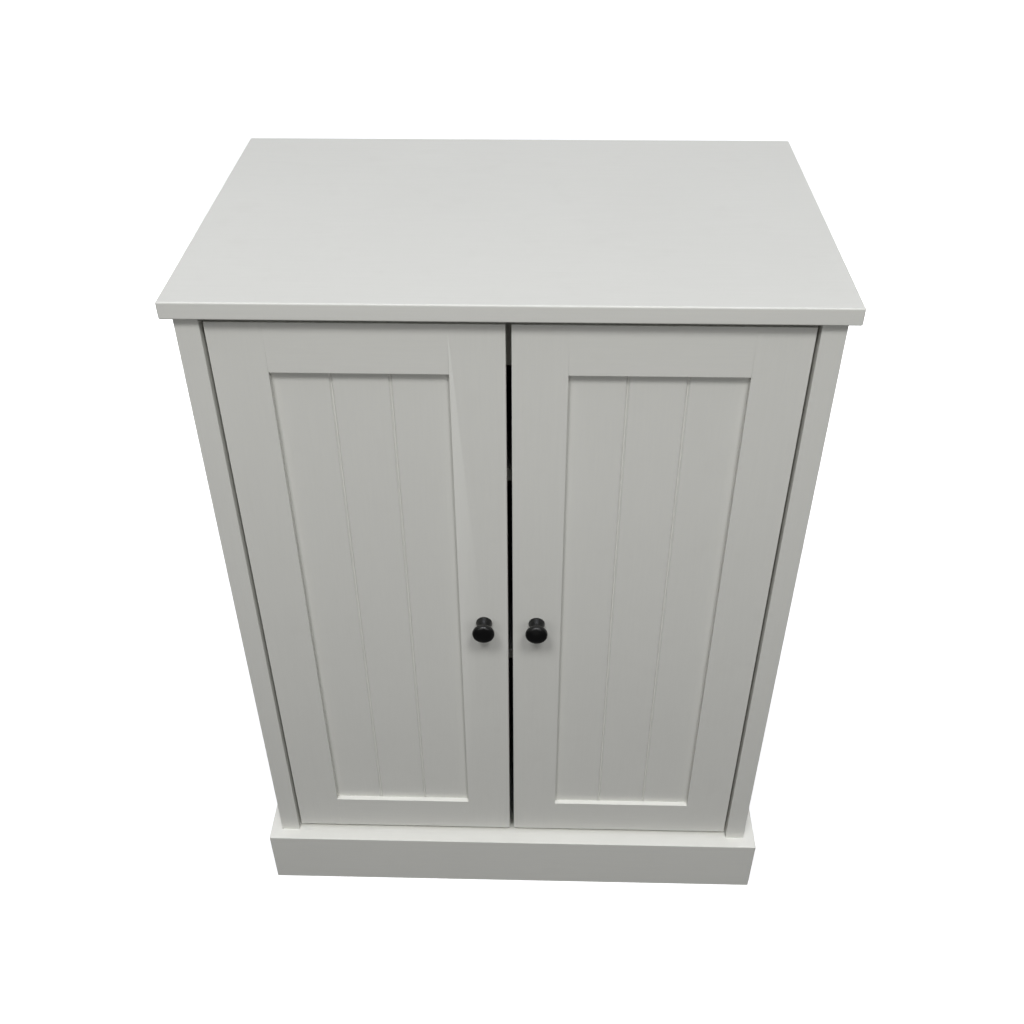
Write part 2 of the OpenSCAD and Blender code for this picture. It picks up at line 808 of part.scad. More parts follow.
// A rail of the door's frame, with a tongue at each end that fills the stiles' slots
module door_rail(z0, z1, slot_z0, slot_z1) difference() {
    union() {
        block([-open_out, door_y0, z0], [-open_in, door_y1, z1]);
        block([-open_out - panel_bite, panel_y0, z0], [panel_bite - open_in, panel_y1, z1]);
    }
    block([-door_out, panel_y0, slot_z0], [-door_in, panel_y1, slot_z1]);
}

module door_top_rail() door_rail(open_z1, door_z1, open_z1 - over, open_z1 + slot_depth);
module door_bottom_rail() door_rail(door_z0, open_z0, open_z0 - slot_depth, open_z0 + over);

module door_panel() difference() {
    block([-open_out - panel_bite, panel_y0, open_z0 - panel_bite],
          [panel_bite - open_in, panel_y1, open_z1 + panel_bite]);
    for (i = [1 : panel_boards - 1])
        translate([i * (open_out - open_in) / panel_boards - open_out, panel_y0, 0])
            linear_extrude(carcass_h)
                polygon([[-vee_w, -vee_d], [vee_w, -vee_d], [0, vee_d]]);
}

module left_door_hinge_stile() place() color(paint) door_hinge_stile();
module left_door_knob_stile() place() color(paint) door_knob_stile();
module left_door_top_rail() place() color(paint) door_top_rail();
module left_door_bottom_rail() place() color(paint) door_bottom_rail();
module left_door_panel() place() color(paint) door_panel();
module right_door_hinge_stile() place() color(paint) flip() door_hinge_stile();
module right_door_knob_stile() place() color(paint) flip() door_knob_stile();
module right_door_top_rail() place() color(paint) flip() door_top_rail();
module right_door_bottom_rail() place() color(paint) flip() door_bottom_rail();
module right_door_panel() place() color(paint) flip() door_panel();

// ---- Knobs ----

// Drawn along +Z from the door's face, then turned to stand out towards -Y
module at_knob() {
    translate([-knob_x, door_y0, knob_z]) rotate([90, 0, 0]) children();
}

module knob() at_knob() difference() {
    rotate_extrude() knob_outline();
    translate([0, 0, -over]) cylinder(r = knob_screw_r + fit, h = knob_screw_bite + 2 * over);
}

// Half the knob's outline: a foot, a neck that is hollowed in, and a head with a round rim
module knob_outline() {
    head_z = knob_out - knob_head_t;
    hollow_r = (head_z - knob_foot_t) / 2;
    square([knob_foot_r, knob_foot_t]);
    difference() {
        square([knob_neck_r + hollow_r, head_z + knob_rim_r]);
        translate([knob_neck_r + hollow_r, knob_foot_t + hollow_r]) circle(r = hollow_r);
        translate([knob_neck_r + hollow_r / 2, head_z]) square(knob_rim_r);
        translate([knob_foot_r, -over]) square([knob_foot_r, knob_foot_t + over]);
    }
    translate([0, head_z]) square([knob_r - knob_rim_r, knob_head_t]);
    translate([0, head_z + knob_rim_r]) square([knob_r, knob_head_t - 2 * knob_rim_r]);
    for (z = [head_z + knob_rim_r, knob_out - knob_rim_r])
        translate([knob_r - knob_rim_r, z]) circle(r = knob_rim_r);
}

module knob_screw() at_knob() difference() {
    union() {
        translate([0, 0, -door_t]) cylinder(r = knob_screw_r, h = door_t + knob_screw_bite);
        translate([0, 0, -door_t - knob_screw_head_h])
            cylinder(r = knob_screw_head_r, h = knob_screw_head_h);
    }
    translate([0, 0, -door_t - knob_screw_head_h - over])
        drive_cross(knob_screw_head_r * drive_share);
}

module left_knob() place() color(black_metal) knob();
module right_knob() place() color(black_metal) flip() knob();
module left_knob_screw() place() color(zinc) knob_screw();
module right_knob_screw() place() color(zinc) flip() knob_screw();

// ---- Magnetic catches ----

module at_catch_screws() {
    for (s = [-1, 1])
        translate([s * catch_screw_out - catch_x, rail_y0 + board_t / 2, rail_z0 - catch_h])
            rotate([180, 0, 0]) children();
}

module catch_body() difference() {
    block([-catch_x - catch_w / 2, catch_y0, rail_z0 - catch_h],
          [catch_w / 2 - catch_x, rail_y1, rail_z0]);
    block([-catch_x - magnet_w / 2, catch_y0 - over, catch_z - magnet_h / 2],
          [magnet_w / 2 - catch_x, magnet_y0 + magnet_d, catch_z + magnet_h / 2]);
    at_catch_screws() sunk_screw_hole(screw_r, catch_screw_len, screw_head_r);
}

module catch_magnet() {
    block([-catch_x - magnet_w / 2, magnet_y0, catch_z - magnet_h / 2],
          [magnet_w / 2 - catch_x, magnet_y0 + magnet_d, catch_z + magnet_h / 2]);
}

module catch_bodies() place() color(white_plastic) both() catch_body();
module catch_magnets() place() color(ferrite) both() catch_magnet();

module catch_screws() place() color(zinc) both()
    at_catch_screws() sunk_screw(screw_r, catch_screw_len, screw_head_r);

module at_strike_screw() {
    translate([-catch_x, door_y1 + strike_t, catch_z]) along_y() children();
}

module strike_plate() difference() {
    block([-catch_x - strike_w / 2, door_y1, catch_z - strike_h / 2],
          [strike_w / 2 - catch_x, door_y1 + strike_t, catch_z + strike_h / 2]);
    at_strike_screw() sunk_screw_hole(strike_screw_r, strike_screw_len, 2 * strike_screw_r);
}

module strike_screw() {
    at_strike_screw() sunk_screw(strike_screw_r, strike_screw_len, 2 * strike_screw_r);
}

module left_strike_plate() place() color(nickel) strike_plate();
module right_strike_plate() place() color(nickel) flip() strike_plate();
module left_strike_screw() place() color(zinc) strike_screw();
module right_strike_screw() place() color(zinc) flip() strike_screw();

// ---- What is drawn ----

top_panel();
left_side_panel();
right_side_panel();
left_front_stile();
right_front_stile();
bottom_panel();
back_panel();
upper_shelf();
lower_shelf();
top_front_rail();
top_back_rail();
back_foot_rail();
plinth_front();
plinth_left();
plinth_right();
plinth_corner_blocks();
plinth_screws();
upper_shelf_pins();
lower_shelf_pins();
cam_bolts();
cam_locks();
wood_dowels();
back_panel_nails();
catch_bodies();
catch_magnets();
catch_screws();
left_hinge_plates();
left_hinge_plate_screws();
left_hinge_arms();
left_hinge_arm_screws();
right_hinge_plates();
right_hinge_plate_screws();
right_hinge_arms();
right_hinge_arm_screws();
left_door_hinge_stile();
left_door_knob_stile();
left_door_top_rail();
left_door_bottom_rail();
left_door_panel();
left_knob();
left_knob_screw();
left_hinge_cups();
left_hinge_pins();
left_cup_screws();
left_strike_plate();
left_strike_screw();
right_door_hinge_stile();
right_door_knob_stile();
right_door_top_rail();
right_door_bottom_rail();
right_door_panel();
right_knob();
right_knob_screw();
right_hinge_cups();
right_hinge_pins();
right_cup_screws();
right_strike_plate();
right_strike_screw();
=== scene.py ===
"""The looks of a low two-door storage cupboard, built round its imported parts.

Lengths are in metres. +Z is up, the doors face -Y, and the origin is on the floor under the
middle of the cupboard, knobs included.
"""

import logging
import math
from collections.abc import Callable, Iterable
from dataclasses import dataclass, replace
from enum import Enum
from typing import Protocol

import bmesh
import bpy
from mathutils import Matrix, Vector


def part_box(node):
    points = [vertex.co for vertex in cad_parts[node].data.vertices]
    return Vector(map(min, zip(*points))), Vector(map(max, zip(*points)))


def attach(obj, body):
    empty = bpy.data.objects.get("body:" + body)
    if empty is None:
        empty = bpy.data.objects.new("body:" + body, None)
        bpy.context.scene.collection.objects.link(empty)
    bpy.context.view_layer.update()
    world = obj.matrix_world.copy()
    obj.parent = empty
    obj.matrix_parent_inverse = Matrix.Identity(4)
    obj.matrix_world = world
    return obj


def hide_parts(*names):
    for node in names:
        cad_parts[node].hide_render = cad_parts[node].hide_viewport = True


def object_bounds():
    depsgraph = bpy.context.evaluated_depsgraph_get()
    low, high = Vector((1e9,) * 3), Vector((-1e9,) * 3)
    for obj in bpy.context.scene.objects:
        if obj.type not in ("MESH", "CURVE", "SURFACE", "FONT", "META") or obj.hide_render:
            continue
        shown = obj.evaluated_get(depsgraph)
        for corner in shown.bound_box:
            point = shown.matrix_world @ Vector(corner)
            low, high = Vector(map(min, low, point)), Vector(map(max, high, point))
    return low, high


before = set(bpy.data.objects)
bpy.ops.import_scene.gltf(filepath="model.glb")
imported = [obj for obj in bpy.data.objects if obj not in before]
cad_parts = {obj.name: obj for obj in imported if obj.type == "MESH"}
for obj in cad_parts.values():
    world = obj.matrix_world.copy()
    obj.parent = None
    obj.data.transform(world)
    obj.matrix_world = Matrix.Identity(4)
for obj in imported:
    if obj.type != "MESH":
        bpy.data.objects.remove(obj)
CAD_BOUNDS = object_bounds()

log = logging.getLogger("cupboard")

MM = 0.001
CABINET = "cabinet"
WELD = 1e-6
COPLANAR = math.radians(0.5)
FLAT = math.radians(1)
CREASE = math.radians(30)
SHARP = math.radians(40)
ROUNDED_CREASE = math.radians(50)
SHORTEST_ARRIS = 8 * MM
WEAR = "rubbed"
AIM = "aim"
SPECULAR = "Specular IOR Level"

Colour = tuple[float, float, float, float]
Point2 = tuple[float, float]
Size3 = tuple[float, float, float]


class Side(Enum):
    """The two halves of the cupboard, as someone in front of it sees them."""

    LEFT = "left"
    RIGHT = "right"

    @property
    def sign(self) -> int:
        """Which way along X this half lies."""
        return -1 if self is Side.LEFT else 1

    @property
    def door_body(self) -> str:
        """The body that this half's door moves with."""
        return f"{self.value}_door"


class Grain(Enum):
    """The way a board's grain runs, as how much finer a pattern is along X, Y and Z."""

    ALONG_X = (0.05, 1.0, 1.0)
    ALONG_Y = (1.0, 0.05, 1.0)
    ALONG_Z = (1.0, 1.0, 0.05)


# ---- Nodes and shader maths ----


class Wire:
    """A node's output that Python's operators work on, each adding its Math node."""

    def __init__(self, nodes: "Nodes", socket: bpy.types.NodeSocket | None) -> None:
        """Holds the output and the tree that it belongs to."""
        self.nodes = nodes
        self.socket = socket

    def _math(self, operation: str, *values: "Wire | float") -> "Wire":
        """Adds the Math node of an operation on some values."""
        return self.nodes.node("ShaderNodeMath", {"operation": operation}, dict(enumerate(values)))

    def __add__(self, other: "Wire | float") -> "Wire":
        """self + other."""
        return self._math("ADD", self, other)

    def __radd__(self, other: float) -> "Wire":
        """other + self."""
        return self._math("ADD", other, self)

    def __sub__(self, other: "Wire | float") -> "Wire":
        """self - other."""
        return self._math("SUBTRACT", self, other)

    def __rsub__(self, other: float) -> "Wire":
        """other - self."""
        return self._math("SUBTRACT", other, self)

    def __mul__(self, other: "Wire | float") -> "Wire":
        """self * other."""
        return self._math("MULTIPLY", self, other)

    def __rmul__(self, other: float) -> "Wire":
        """other * self."""
        return self._math("MULTIPLY", other, self)

    def ramp(self, low: float, high: float) -> "Wire":
        """Goes smoothly from 0 where this is at low to 1 where it is at high."""
        settings = {"interpolation_type": "SMOOTHSTEP"}
        return self.nodes.node("ShaderNodeMapRange", settings, {0: self, 1: low, 2: high})


class Nodes:
    """A node tree while it is being laid out."""

    def __init__(self, tree: bpy.types.NodeTree) -> None:
        """Empties a tree."""
        self.tree = tree
        tree.nodes.clear()

    def node(self, kind: str, settings: dict, sockets: dict, out: int | str = 0) -> Wire:
        """Adds any node.

        Args:
            kind: The node's type.
            settings: Its properties, set first. The property stops takes a ramp's stops as
                (position, colour) pairs.
            sockets: Its inputs by name or number, each a Wire or a plain value.
            out: The output that is wanted.

        Returns:
            That output, or an empty Wire for a node without outputs.
        """
        made = self.tree.nodes.new(kind)
        for name, value in settings.items():
            if name == "stops":
                stops = made.color_ramp.elements
                while len(stops) < len(value):
                    stops.new(1.0)
                for stop, (position, colour) in zip(stops, value):
                    stop.position, stop.color = position, colour
            else:
                setattr(made, name, value)
        for key, value in sockets.items():
            if isinstance(value, Wire):
                self.tree.links.new(value.socket, made.inputs[key])
            else:
                made.inputs[key].default_value = value
        return Wire(self, made.outputs[out] if len(made.outputs) else None)


class Shader(Nodes):
    """A material while its nodes are being laid out, with patterns on Object coordinates."""

    def __init__(self, name: str) -> None:
        """Starts an empty material."""
        self.material = bpy.data.materials.new(name)
        self.material.use_nodes = True
        super().__init__(self.material.node_tree)
        self.place = self.node("ShaderNodeTexCoord", {}, {}, "Object")

    def stretched(self, stretch: Size3, shift: float = 0.0) -> Wire:
        """Object coordinates, scaled along each axis and moved by shift."""
        sockets = {"Vector": self.place, "Scale": stretch, "Location": (shift, shift, shift)}
        return self.node("ShaderNodeMapping", {}, sockets)

    def noise(self, per_metre: float, detail: float, place: Wire | None = None) -> Wire:
        """A cloudy pattern from 0 to 1: its clouds to a metre, finer layers and coordinates."""
        sockets = {"Vector": place or self.place, "Scale": per_metre, "Detail": detail}
        return self.node("ShaderNodeTexNoise", {}, sockets)

    def wear(self) -> Wire:
        """1 on a piece's rounded edges and 0 elsewhere."""
        return self.node("ShaderNodeAttribute", {"attribute_name": WEAR}, {}, "Fac")

    def mix(self, share: Wire, low: Wire | Colour, high: Wire | Colour) -> Wire:
        """Blends two colours: low where share is 0, high where it is 1."""
        return self.node("ShaderNodeMix", {"data_type": "RGBA"}, {0: share, 6: low, 7: high}, 2)

    def surface(
        self, colour: Wire, roughness: Wire, relief: Wire | None, depth: float, rest: dict
    ) -> bpy.types.Material:
        """Ends the material in one Principled shader.

        Args:
            colour: Its colour.
            roughness: Its roughness.
            relief: The pattern of heights that bumps it, or None for a flat surface.
            depth: How deep the bumps are.
            rest: The shader's other inputs.

        Returns:
            The finished material.
        """
        inputs = {"Base Color": colour, "Roughness": roughness, **rest}
        if relief is not None:
            inputs["Normal"] = self.node("ShaderNodeBump", {}, {"Height": relief, "Distance": depth})
        shader = self.node("ShaderNodeBsdfPrincipled", {}, inputs)
        self.node("ShaderNodeOutputMaterial", {}, {"Surface": shader})
        return self.material


def shade(colour: Colour, factor: float) -> Colour:
    """A colour made lighter or darker by a factor."""
    return (colour[0] * factor, colour[1] * factor, colour[2] * factor, 1.0)


# ---- Finishes ----


class Recipe(Protocol):
    """What builds a finish, and the record's slot that the finish belongs to."""

    slot: str

    def material(self) -> bpy.types.Material:
        """Builds the finish."""


@dataclass(frozen=True)
class PaintedBoard:
    """Off-white satin film on board: a faint drag along the grain, fine pores, rubbed edges."""

    grain: Grain
    colour: Colour = (0.735, 0.733, 0.690, 1.0)
    grimy: Colour = (0.52, 0.50, 0.45, 1.0)
    rubbed: Colour = (0.82, 0.81, 0.78, 1.0)
    roughness: float = 0.50
    slot: str = "painted_board"

    def material(self) -> bpy.types.Material:
        """Builds the finish."""
        shader = Shader(f"painted_board_{self.grain.name.lower()}")
        clouds = shader.noise(5.0, 3.0)
        streaks = shader.noise(420.0, 4.0, shader.stretched(self.grain.value))
        pores = shader.noise(1500.0, 2.0)
        grime = shader.noise(28.0, 5.0).ramp(0.52, 0.80)
        tone = (clouds * 0.5 + streaks * 0.5).ramp(0.25, 0.75)
        film = shader.mix(tone, shade(self.colour, 0.985), shade(self.colour, 1.015))
        film = shader.mix(grime * 0.05, film, self.grimy)
        worn = shader.wear() * shader.noise(60.0, 4.0).ramp(0.42, 0.66)
        film = shader.mix(worn * 0.20, film, self.rubbed)
        rough = self.roughness + clouds * 0.06 + streaks * 0.05 + grime * 0.08
        relief = streaks * 0.65 + pores * 0.35
        return shader.surface(film, rough, relief, 0.05 * MM, {"IOR": 1.46, SPECULAR: 0.35})


@dataclass(frozen=True)
class RawBoard:
    """Chipboard with a thin pale face, its flakes showing through."""

    dark: Colour = (0.50, 0.44, 0.34, 1.0)
    pale: Colour = (0.72, 0.67, 0.57, 1.0)
    slot: str = "raw_board"

    def material(self) -> bpy.types.Material:
        """Builds the finish."""
        shader = Shader("raw_board")
        sockets = {"Vector": shader.stretched((1.0, 1.0, 0.6)), "Scale": 260.0, "Randomness": 1.0}
        flakes = shader.node("ShaderNodeTexVoronoi", {"feature": "F1"}, sockets, "Color")
        grey = shader.node("ShaderNodeSeparateColor", {}, {"Color": flakes})
        dust = shader.noise(40.0, 5.0)
        film = shader.mix(grey * 0.7 + dust * 0.3, self.dark, self.pale)
        relief = grey * 0.6 + dust * 0.4
        return shader.surface(film, 0.72 + dust * 0.15, relief, 0.15 * MM, {SPECULAR: 0.25})


@dataclass(frozen=True)
class Hardboard:
    """Brown pressed fibre, with a fine random nap and darker clouds."""

    dark: Colour = (0.150, 0.085, 0.040, 1.0)
    brown: Colour = (0.250, 0.150, 0.075, 1.0)
    pale: Colour = (0.370, 0.245, 0.135, 1.0)
    slot: str = "hardboard"

    def material(self) -> bpy.types.Material:
        """Builds the finish."""
        shader = Shader("hardboard")
        fibres = shader.noise(900.0, 5.0, shader.stretched((1.0, 1.0, 0.25)))
        strands = shader.noise(700.0, 5.0, shader.stretched((0.25, 1.0, 1.0), 3.0))
        clouds = shader.noise(9.0, 4.0)
        nap = fibres * 0.5 + strands * 0.5
        settings = {"stops": [(0.30, self.dark), (0.50, self.brown), (0.72, self.pale)]}
        film = shader.node("ShaderNodeValToRGB", settings, {0: nap * 0.7 + clouds * 0.3})
        return shader.surface(film, 0.62 + clouds * 0.15, nap, 0.12 * MM, {SPECULAR: 0.3})


@dataclass(frozen=True)
class Pine:
    """Unfinished softwood, with growth rings and a fine grain along Z."""

    dark: Colour = (0.58, 0.37, 0.17, 1.0)
    pale: Colour = (0.76, 0.57, 0.33, 1.0)
    slot: str = "pine"

    def material(self) -> bpy.types.Material:
        """Builds the finish."""
        shader = Shader("pine")
        place = shader.stretched((1.0, 1.0, 0.06), 0.31)
        sockets = {"Vector": place, "Scale": 70.0, "Distortion": 3.0, "Detail": 2.0}
        settings = {"wave_type": "RINGS", "rings_direction": "Z"}
        rings = shader.node("ShaderNodeTexWave", settings, sockets, "Fac")
        fibres = shader.noise(1200.0, 4.0, shader.stretched(Grain.ALONG_Z.value))
        film = shader.mix(rings * 0.6 + fibres * 0.4, self.dark, self.pale)
        relief = rings * 0.3 + fibres * 0.7
        return shader.surface(film, 0.6 + fibres * 0.15, relief, 0.08 * MM, {SPECULAR: 0.3})


@dataclass(frozen=True)
class PlatedSteel:
    """Bright plating, brushed one way, with small stains and scuffs."""

    slot: str
    colour: Colour
    roughness: float
    stain: Colour

    def material(self) -> bpy.types.Material:
        """Builds the finish."""
        shader = Shader(self.slot)
        brush = shader.noise(2500.0, 3.0, shader.stretched((1.0, 0.04, 1.0)))
        scuffs = shader.noise(240.0, 5.0).ramp(0.50, 0.74)
        stains = shader.noise(75.0, 3.0).ramp(0.45, 0.80)
        film = shader.mix(stains * 0.5, self.colour, self.stain)
        film = shader.mix(shader.wear() * 0.35, film, shade(self.colour, 1.15))
        rough = self.roughness + brush * 0.12 + scuffs * 0.18
        relief = brush * 0.6 + scuffs * 0.4
        return shader.surface(film, rough, relief, 0.02 * MM, {"Metallic": 1.0 - stains * 0.15})


@dataclass(frozen=True)
class BlackLacquer:
    """Black lacquer on cast metal: a fine stipple, and a duller bloom where hands touch it."""

    colour: Colour = (0.0030, 0.0030, 0.0030, 1.0)
    bloomed: Colour = (0.0070, 0.0070, 0.0065, 1.0)
    slot: str = "black_metal"

    def material(self) -> bpy.types.Material:
        """Builds the finish."""
        shader = Shader("black_lacquer")
        stipple = shader.noise(1400.0, 3.0)
        bloom = shader.noise(110.0, 4.0).ramp(0.40, 0.75)
        film = shader.mix(bloom, self.colour, self.bloomed)
        rough = 0.26 + bloom * 0.12 + stipple * 0.05
        return shader.surface(film, rough, stipple, 0.03 * MM, {SPECULAR: 0.5})


@dataclass(frozen=True)
class MouldedPlastic:
    """White moulded plastic, with a fine spark-eroded texture."""

    dark: Colour = (0.70, 0.70, 0.66, 1.0)
    pale: Colour = (0.80, 0.80, 0.77, 1.0)
    slot: str = "catch_plastic"

    def material(self) -> bpy.types.Material:
        """Builds the finish."""
        shader = Shader("catch_plastic")
        texture = shader.noise(1800.0, 3.0)
        film = shader.mix(shader.noise(60.0, 3.0), self.dark, self.pale)
        return shader.surface(film, 0.40 + texture * 0.12, texture, 0.03 * MM, {SPECULAR: 0.45})


@dataclass(frozen=True)
class Ferrite:
    """Dark sintered magnet, slightly grainy."""

    dark: Colour = (0.030, 0.030, 0.032, 1.0)
    pale: Colour = (0.075, 0.075, 0.080, 1.0)
    slot: str = "ferrite"

    def material(self) -> bpy.types.Material:
        """Builds the finish."""
        shader = Shader("ferrite")
        grit = shader.noise(2200.0, 4.0)
        film = shader.mix(grit, self.dark, self.pale)
        return shader.surface(film, 0.45 + grit * 0.25, grit, 0.04 * MM, {})


@dataclass(frozen=True)
class PaleFloor:
    """A plain, nearly white floor with the faintest mottle, lit a little from within."""

    colour: Colour = (0.95, 0.95, 0.95, 1.0)
    glow: float = 0.34

    def material(self) -> bpy.types.Material:
        """Builds the finish."""
        shader = Shader("pale_floor")
        clouds = shader.noise(1.5, 3.0)
        film = shader.mix(clouds, shade(self.colour, 0.985), self.colour)
        glowing = {"Emission Color": self.colour, "Emission Strength": self.glow}
        return shader.surface(film, 0.80 + clouds * 0.1, None, 0.0, {SPECULAR: 0.1, **glowing})


@dataclass(frozen=True)
class Finish:
    """A finish that has been built, and the record's slot that it belongs to."""

    material: bpy.types.Material
    slot: str


class Finishes:
    """All the cupboard's finishes, each built once."""

    def __init__(self) -> None:
        """Builds every finish."""
        self.painted = {grain: self._built(PaintedBoard(grain)) for grain in Grain}
        self.raw = self._built(RawBoard())
        self.hardboard = self._built(Hardboard())
        self.pine = self._built(Pine())
        nickel, zinc = (0.66, 0.65, 0.62, 1.0), (0.60, 0.62, 0.65, 1.0)
        dull, yellow = (0.42, 0.41, 0.38, 1.0), (0.55, 0.52, 0.42, 1.0)
        self.nickel = self._built(PlatedSteel("nickel_plate", nickel, 0.22, dull))
        self.zinc = self._built(PlatedSteel("zinc_plate", zinc, 0.30, yellow))
        self.black = self._built(BlackLacquer())
        self.plastic = self._built(MouldedPlastic())
        self.ferrite = self._built(Ferrite())

    @staticmethod
    def _built(recipe: Recipe) -> Finish:
        """Builds one finish and keeps its slot's name."""
        return Finish(recipe.material(), recipe.slot)


# ---- Mesh work ----


def merged_copy(node: str) -> bmesh.types.BMesh:
    """Copies a CAD node's mesh, welds its corners and joins its flat triangles into faces.

    Args:
        node: The node's name.

    Returns:
        The copy.
    """
    bm = bmesh.new()
    bm.from_mesh(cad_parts[node].data)
    bmesh.ops.remove_doubles(bm, verts=bm.verts, dist=WELD)
    bmesh.ops.dissolve_limit(bm, angle_limit=COPLANAR, verts=bm.verts, edges=bm.edges)
    return bm


def box_mesh(low: Vector, high: Vector) -> bmesh.types.BMesh:
    """A closed box between two corners."""
    bm = bmesh.new()
    bmesh.ops.create_cube(bm, size=1.0)
    matrix = Matrix.Translation((low + high) / 2) @ Matrix.Diagonal((*(high - low), 1.0))
    bmesh.ops.transform(bm, matrix=matrix, verts=bm.verts)
    return bm


def prism(outline: list[Point2], low: float, high: float) -> bmesh.types.BMesh:
    """Raises a closed outline in the XY plane into a solid between two heights."""
    bm = bmesh.new()
    floor = [bm.verts.new((x, y, low)) for x, y in outline]
    roof = [bm.verts.new((x, y, high)) for x, y in outline]
    bm.faces.new(floor)
    bm.faces.new(roof)
    for i in range(len(outline)):
        j = (i + 1) % len(outline)
        bm.faces.new((floor[i], floor[j], roof[j], roof[i]))
    bmesh.ops.recalc_face_normals(bm, faces=bm.faces)
    return bm


def lathe(profile: list[Point2], steps: int) -> bmesh.types.BMesh:
    """Turns a profile of (radius, height) points about Z into a closed solid.

    Args:
        profile: The points from bottom to top. The first and the last lie on the axis.
        steps: How many sides it has.

    Returns:
        The solid.
    """
    bm = bmesh.new()
    turn = 2 * math.pi / steps
    rings = [
        [bm.verts.new((r * math.cos(i * turn), r * math.sin(i * turn), z)) for i in range(steps)]
        for r, z in profile[1:-1]
    ]
    foot = bm.verts.new((0.0, 0.0, profile[0][1]))
    tip = bm.verts.new((0.0, 0.0, profile[-1][1]))
    for i in range(steps):
        j = (i + 1) % steps
        bm.faces.new((foot, rings[0][j], rings[0][i]))
        bm.faces.new((tip, rings[-1][i], rings[-1][j]))
        for lower, upper in zip(rings, rings[1:]):
            bm.faces.new((lower[i], lower[j], upper[j], upper[i]))
    bmesh.ops.recalc_face_normals(bm, faces=bm.faces)
    return bm


def arc(middle: Point2, radius: float, start: float, end: float, steps: int) -> list[Point2]:
    """Points on an arc, from one angle to another in degrees."""
    angles = [math.radians(start + (end - start) * i / steps) for i in range(steps + 1)]
    return [(middle[0] + radius * math.cos(a), middle[1] + radius * math.sin(a)) for a in angles]


def mirrored(points: list[Point2]) -> list[Point2]:
    """Points on the other side of x = 0."""
    return [(-x, y) for x, y in points]


def flowing(points: list[Point2], steps: int) -> list[Point2]:
    """A smooth curve through points, with steps pieces between each pair."""
    padded = [points[0], *points, points[-1]]
    curve = []
    for a, b, c, d in zip(padded, padded[1:], padded[2:], padded[3:]):
        for i in range(steps):
            t = i / steps
            weights = (
                (-t + 2 * t**2 - t**3) / 2,
                (2 - 5 * t**2 + 3 * t**3) / 2,
                (t + 4 * t**2 - 3 * t**3) / 2,
                (-(t**2) + t**3) / 2,
            )
            curve.append(tuple(sum(w * p[k] for w, p in zip(weights, (a, b, c, d))) for k in (0, 1)))
    return [*curve, points[-1]]


def long_and_sharp(edge: bmesh.types.BMEdge) -> bool:
    """Says whether an edge is a board's own arris, and not a bore's rim or a flat seam."""
    long = len(edge.link_faces) == 2 and edge.calc_length() > SHORTEST_ARRIS
    return long and edge.calc_face_angle() > CREASE


def sharp(edge: bmesh.types.BMEdge) -> bool:
    """Says whether two faces meet in a crease at an edge."""
    return len(edge.link_faces) == 2 and edge.calc_face_angle() > SHARP


def ease(
    bm: bmesh.types.BMesh,
    radius: float,
    picked: Callable[[bmesh.types.BMEdge], bool] = long_and_sharp,
    steps: int = 2,
) -> bmesh.types.BMesh:
    """Rounds a mesh's edges and marks the new faces as rubbed.

    Args:
        bm: The mesh, which is changed.
        radius: How far in from the edge the rounding starts.
        picked: Says which edges are rounded.
        steps: How many faces make up a rounding.

    Returns:
        The same mesh.
    """
    layer = bm.faces.layers.float.get(WEAR) or bm.faces.layers.float.new(WEAR)
    made = bmesh.ops.bevel(
        bm,
        geom=[edge for edge in bm.edges if picked(edge)],
        offset=radius,
        offset_type="OFFSET",
        segments=steps,
        profile=0.5,
        affect="EDGES",
        clamp_overlap=True,
    )
    for face in made["faces"]:
        face.normal_update()
        slanted = max(map(abs, face.normal)) < math.cos(FLAT)
        face[layer] = 1.0 if slanted else 0.0
    return bm


def linked(name: str, data: bpy.types.ID) -> bpy.types.Object:
    """Makes an object of some data and puts it in the scene."""
    made = bpy.data.objects.new(name, data)
    bpy.context.scene.collection.objects.link(made)
    return made


def discard(*used: bpy.types.Object) -> None:
    """Removes mesh objects with their meshes."""
    for made in used:
        mesh = made.data
        bpy.data.objects.remove(made)
        bpy.data.meshes.remove(mesh)


def new_object(name: str, bm: bmesh.types.BMesh, material: bpy.types.Material) -> bpy.types.Object:
    """Makes an object of a mesh, smooth but for its creases.

    Args:
        name: The object's name.
        bm: Its mesh, which is used up.
        material: Its finish.

    Returns:
        The object, at the origin.
    """
    mesh = bpy.data.meshes.new(name)
    worn = bm.faces.layers.float.get(WEAR)
    for face in bm.faces:
        face.smooth = True
    for edge in bm.edges:
        rounded = worn is not None and any(face[worn] > 0 for face in edge.link_faces)
        edge.smooth = edge.calc_face_angle(math.pi) < (ROUNDED_CREASE if rounded else CREASE)
    bm.to_mesh(mesh)
    bm.free()
    mesh.materials.append(material)
    return linked(name, mesh)


def add_piece(
    name: str, bm: bmesh.types.BMesh, finish: Finish, body: str, nodes: Iterable[str]
) -> None:
    """Makes a finished piece that rides on a body and stands for some CAD nodes.

    Args:
        name: The piece's name.
        bm: Its mesh, in place.
        finish: Its finish.
        body: The body that it moves with.
        nodes: The CAD nodes that it replaces.
    """
    piece = new_object(name, bm, finish.material)
    smooth = piece.modifiers.new("flat_faces_stay_flat", "WEIGHTED_NORMAL")
    smooth.keep_sharp = True
    smooth.weight = 100
    register(piece, body, nodes)


def register(piece: bpy.types.Object, body: str, nodes: Iterable[str]) -> None:
    """Attaches a piece to the body that it moves with, and hides the CAD nodes that it replaces.

    Args:
        piece: The piece.
        body: The body that it moves with.
        nodes: The CAD nodes that it replaces.
    """
    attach(piece, body)
    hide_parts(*nodes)
    log.info("%s rides on %s", piece.name, body)


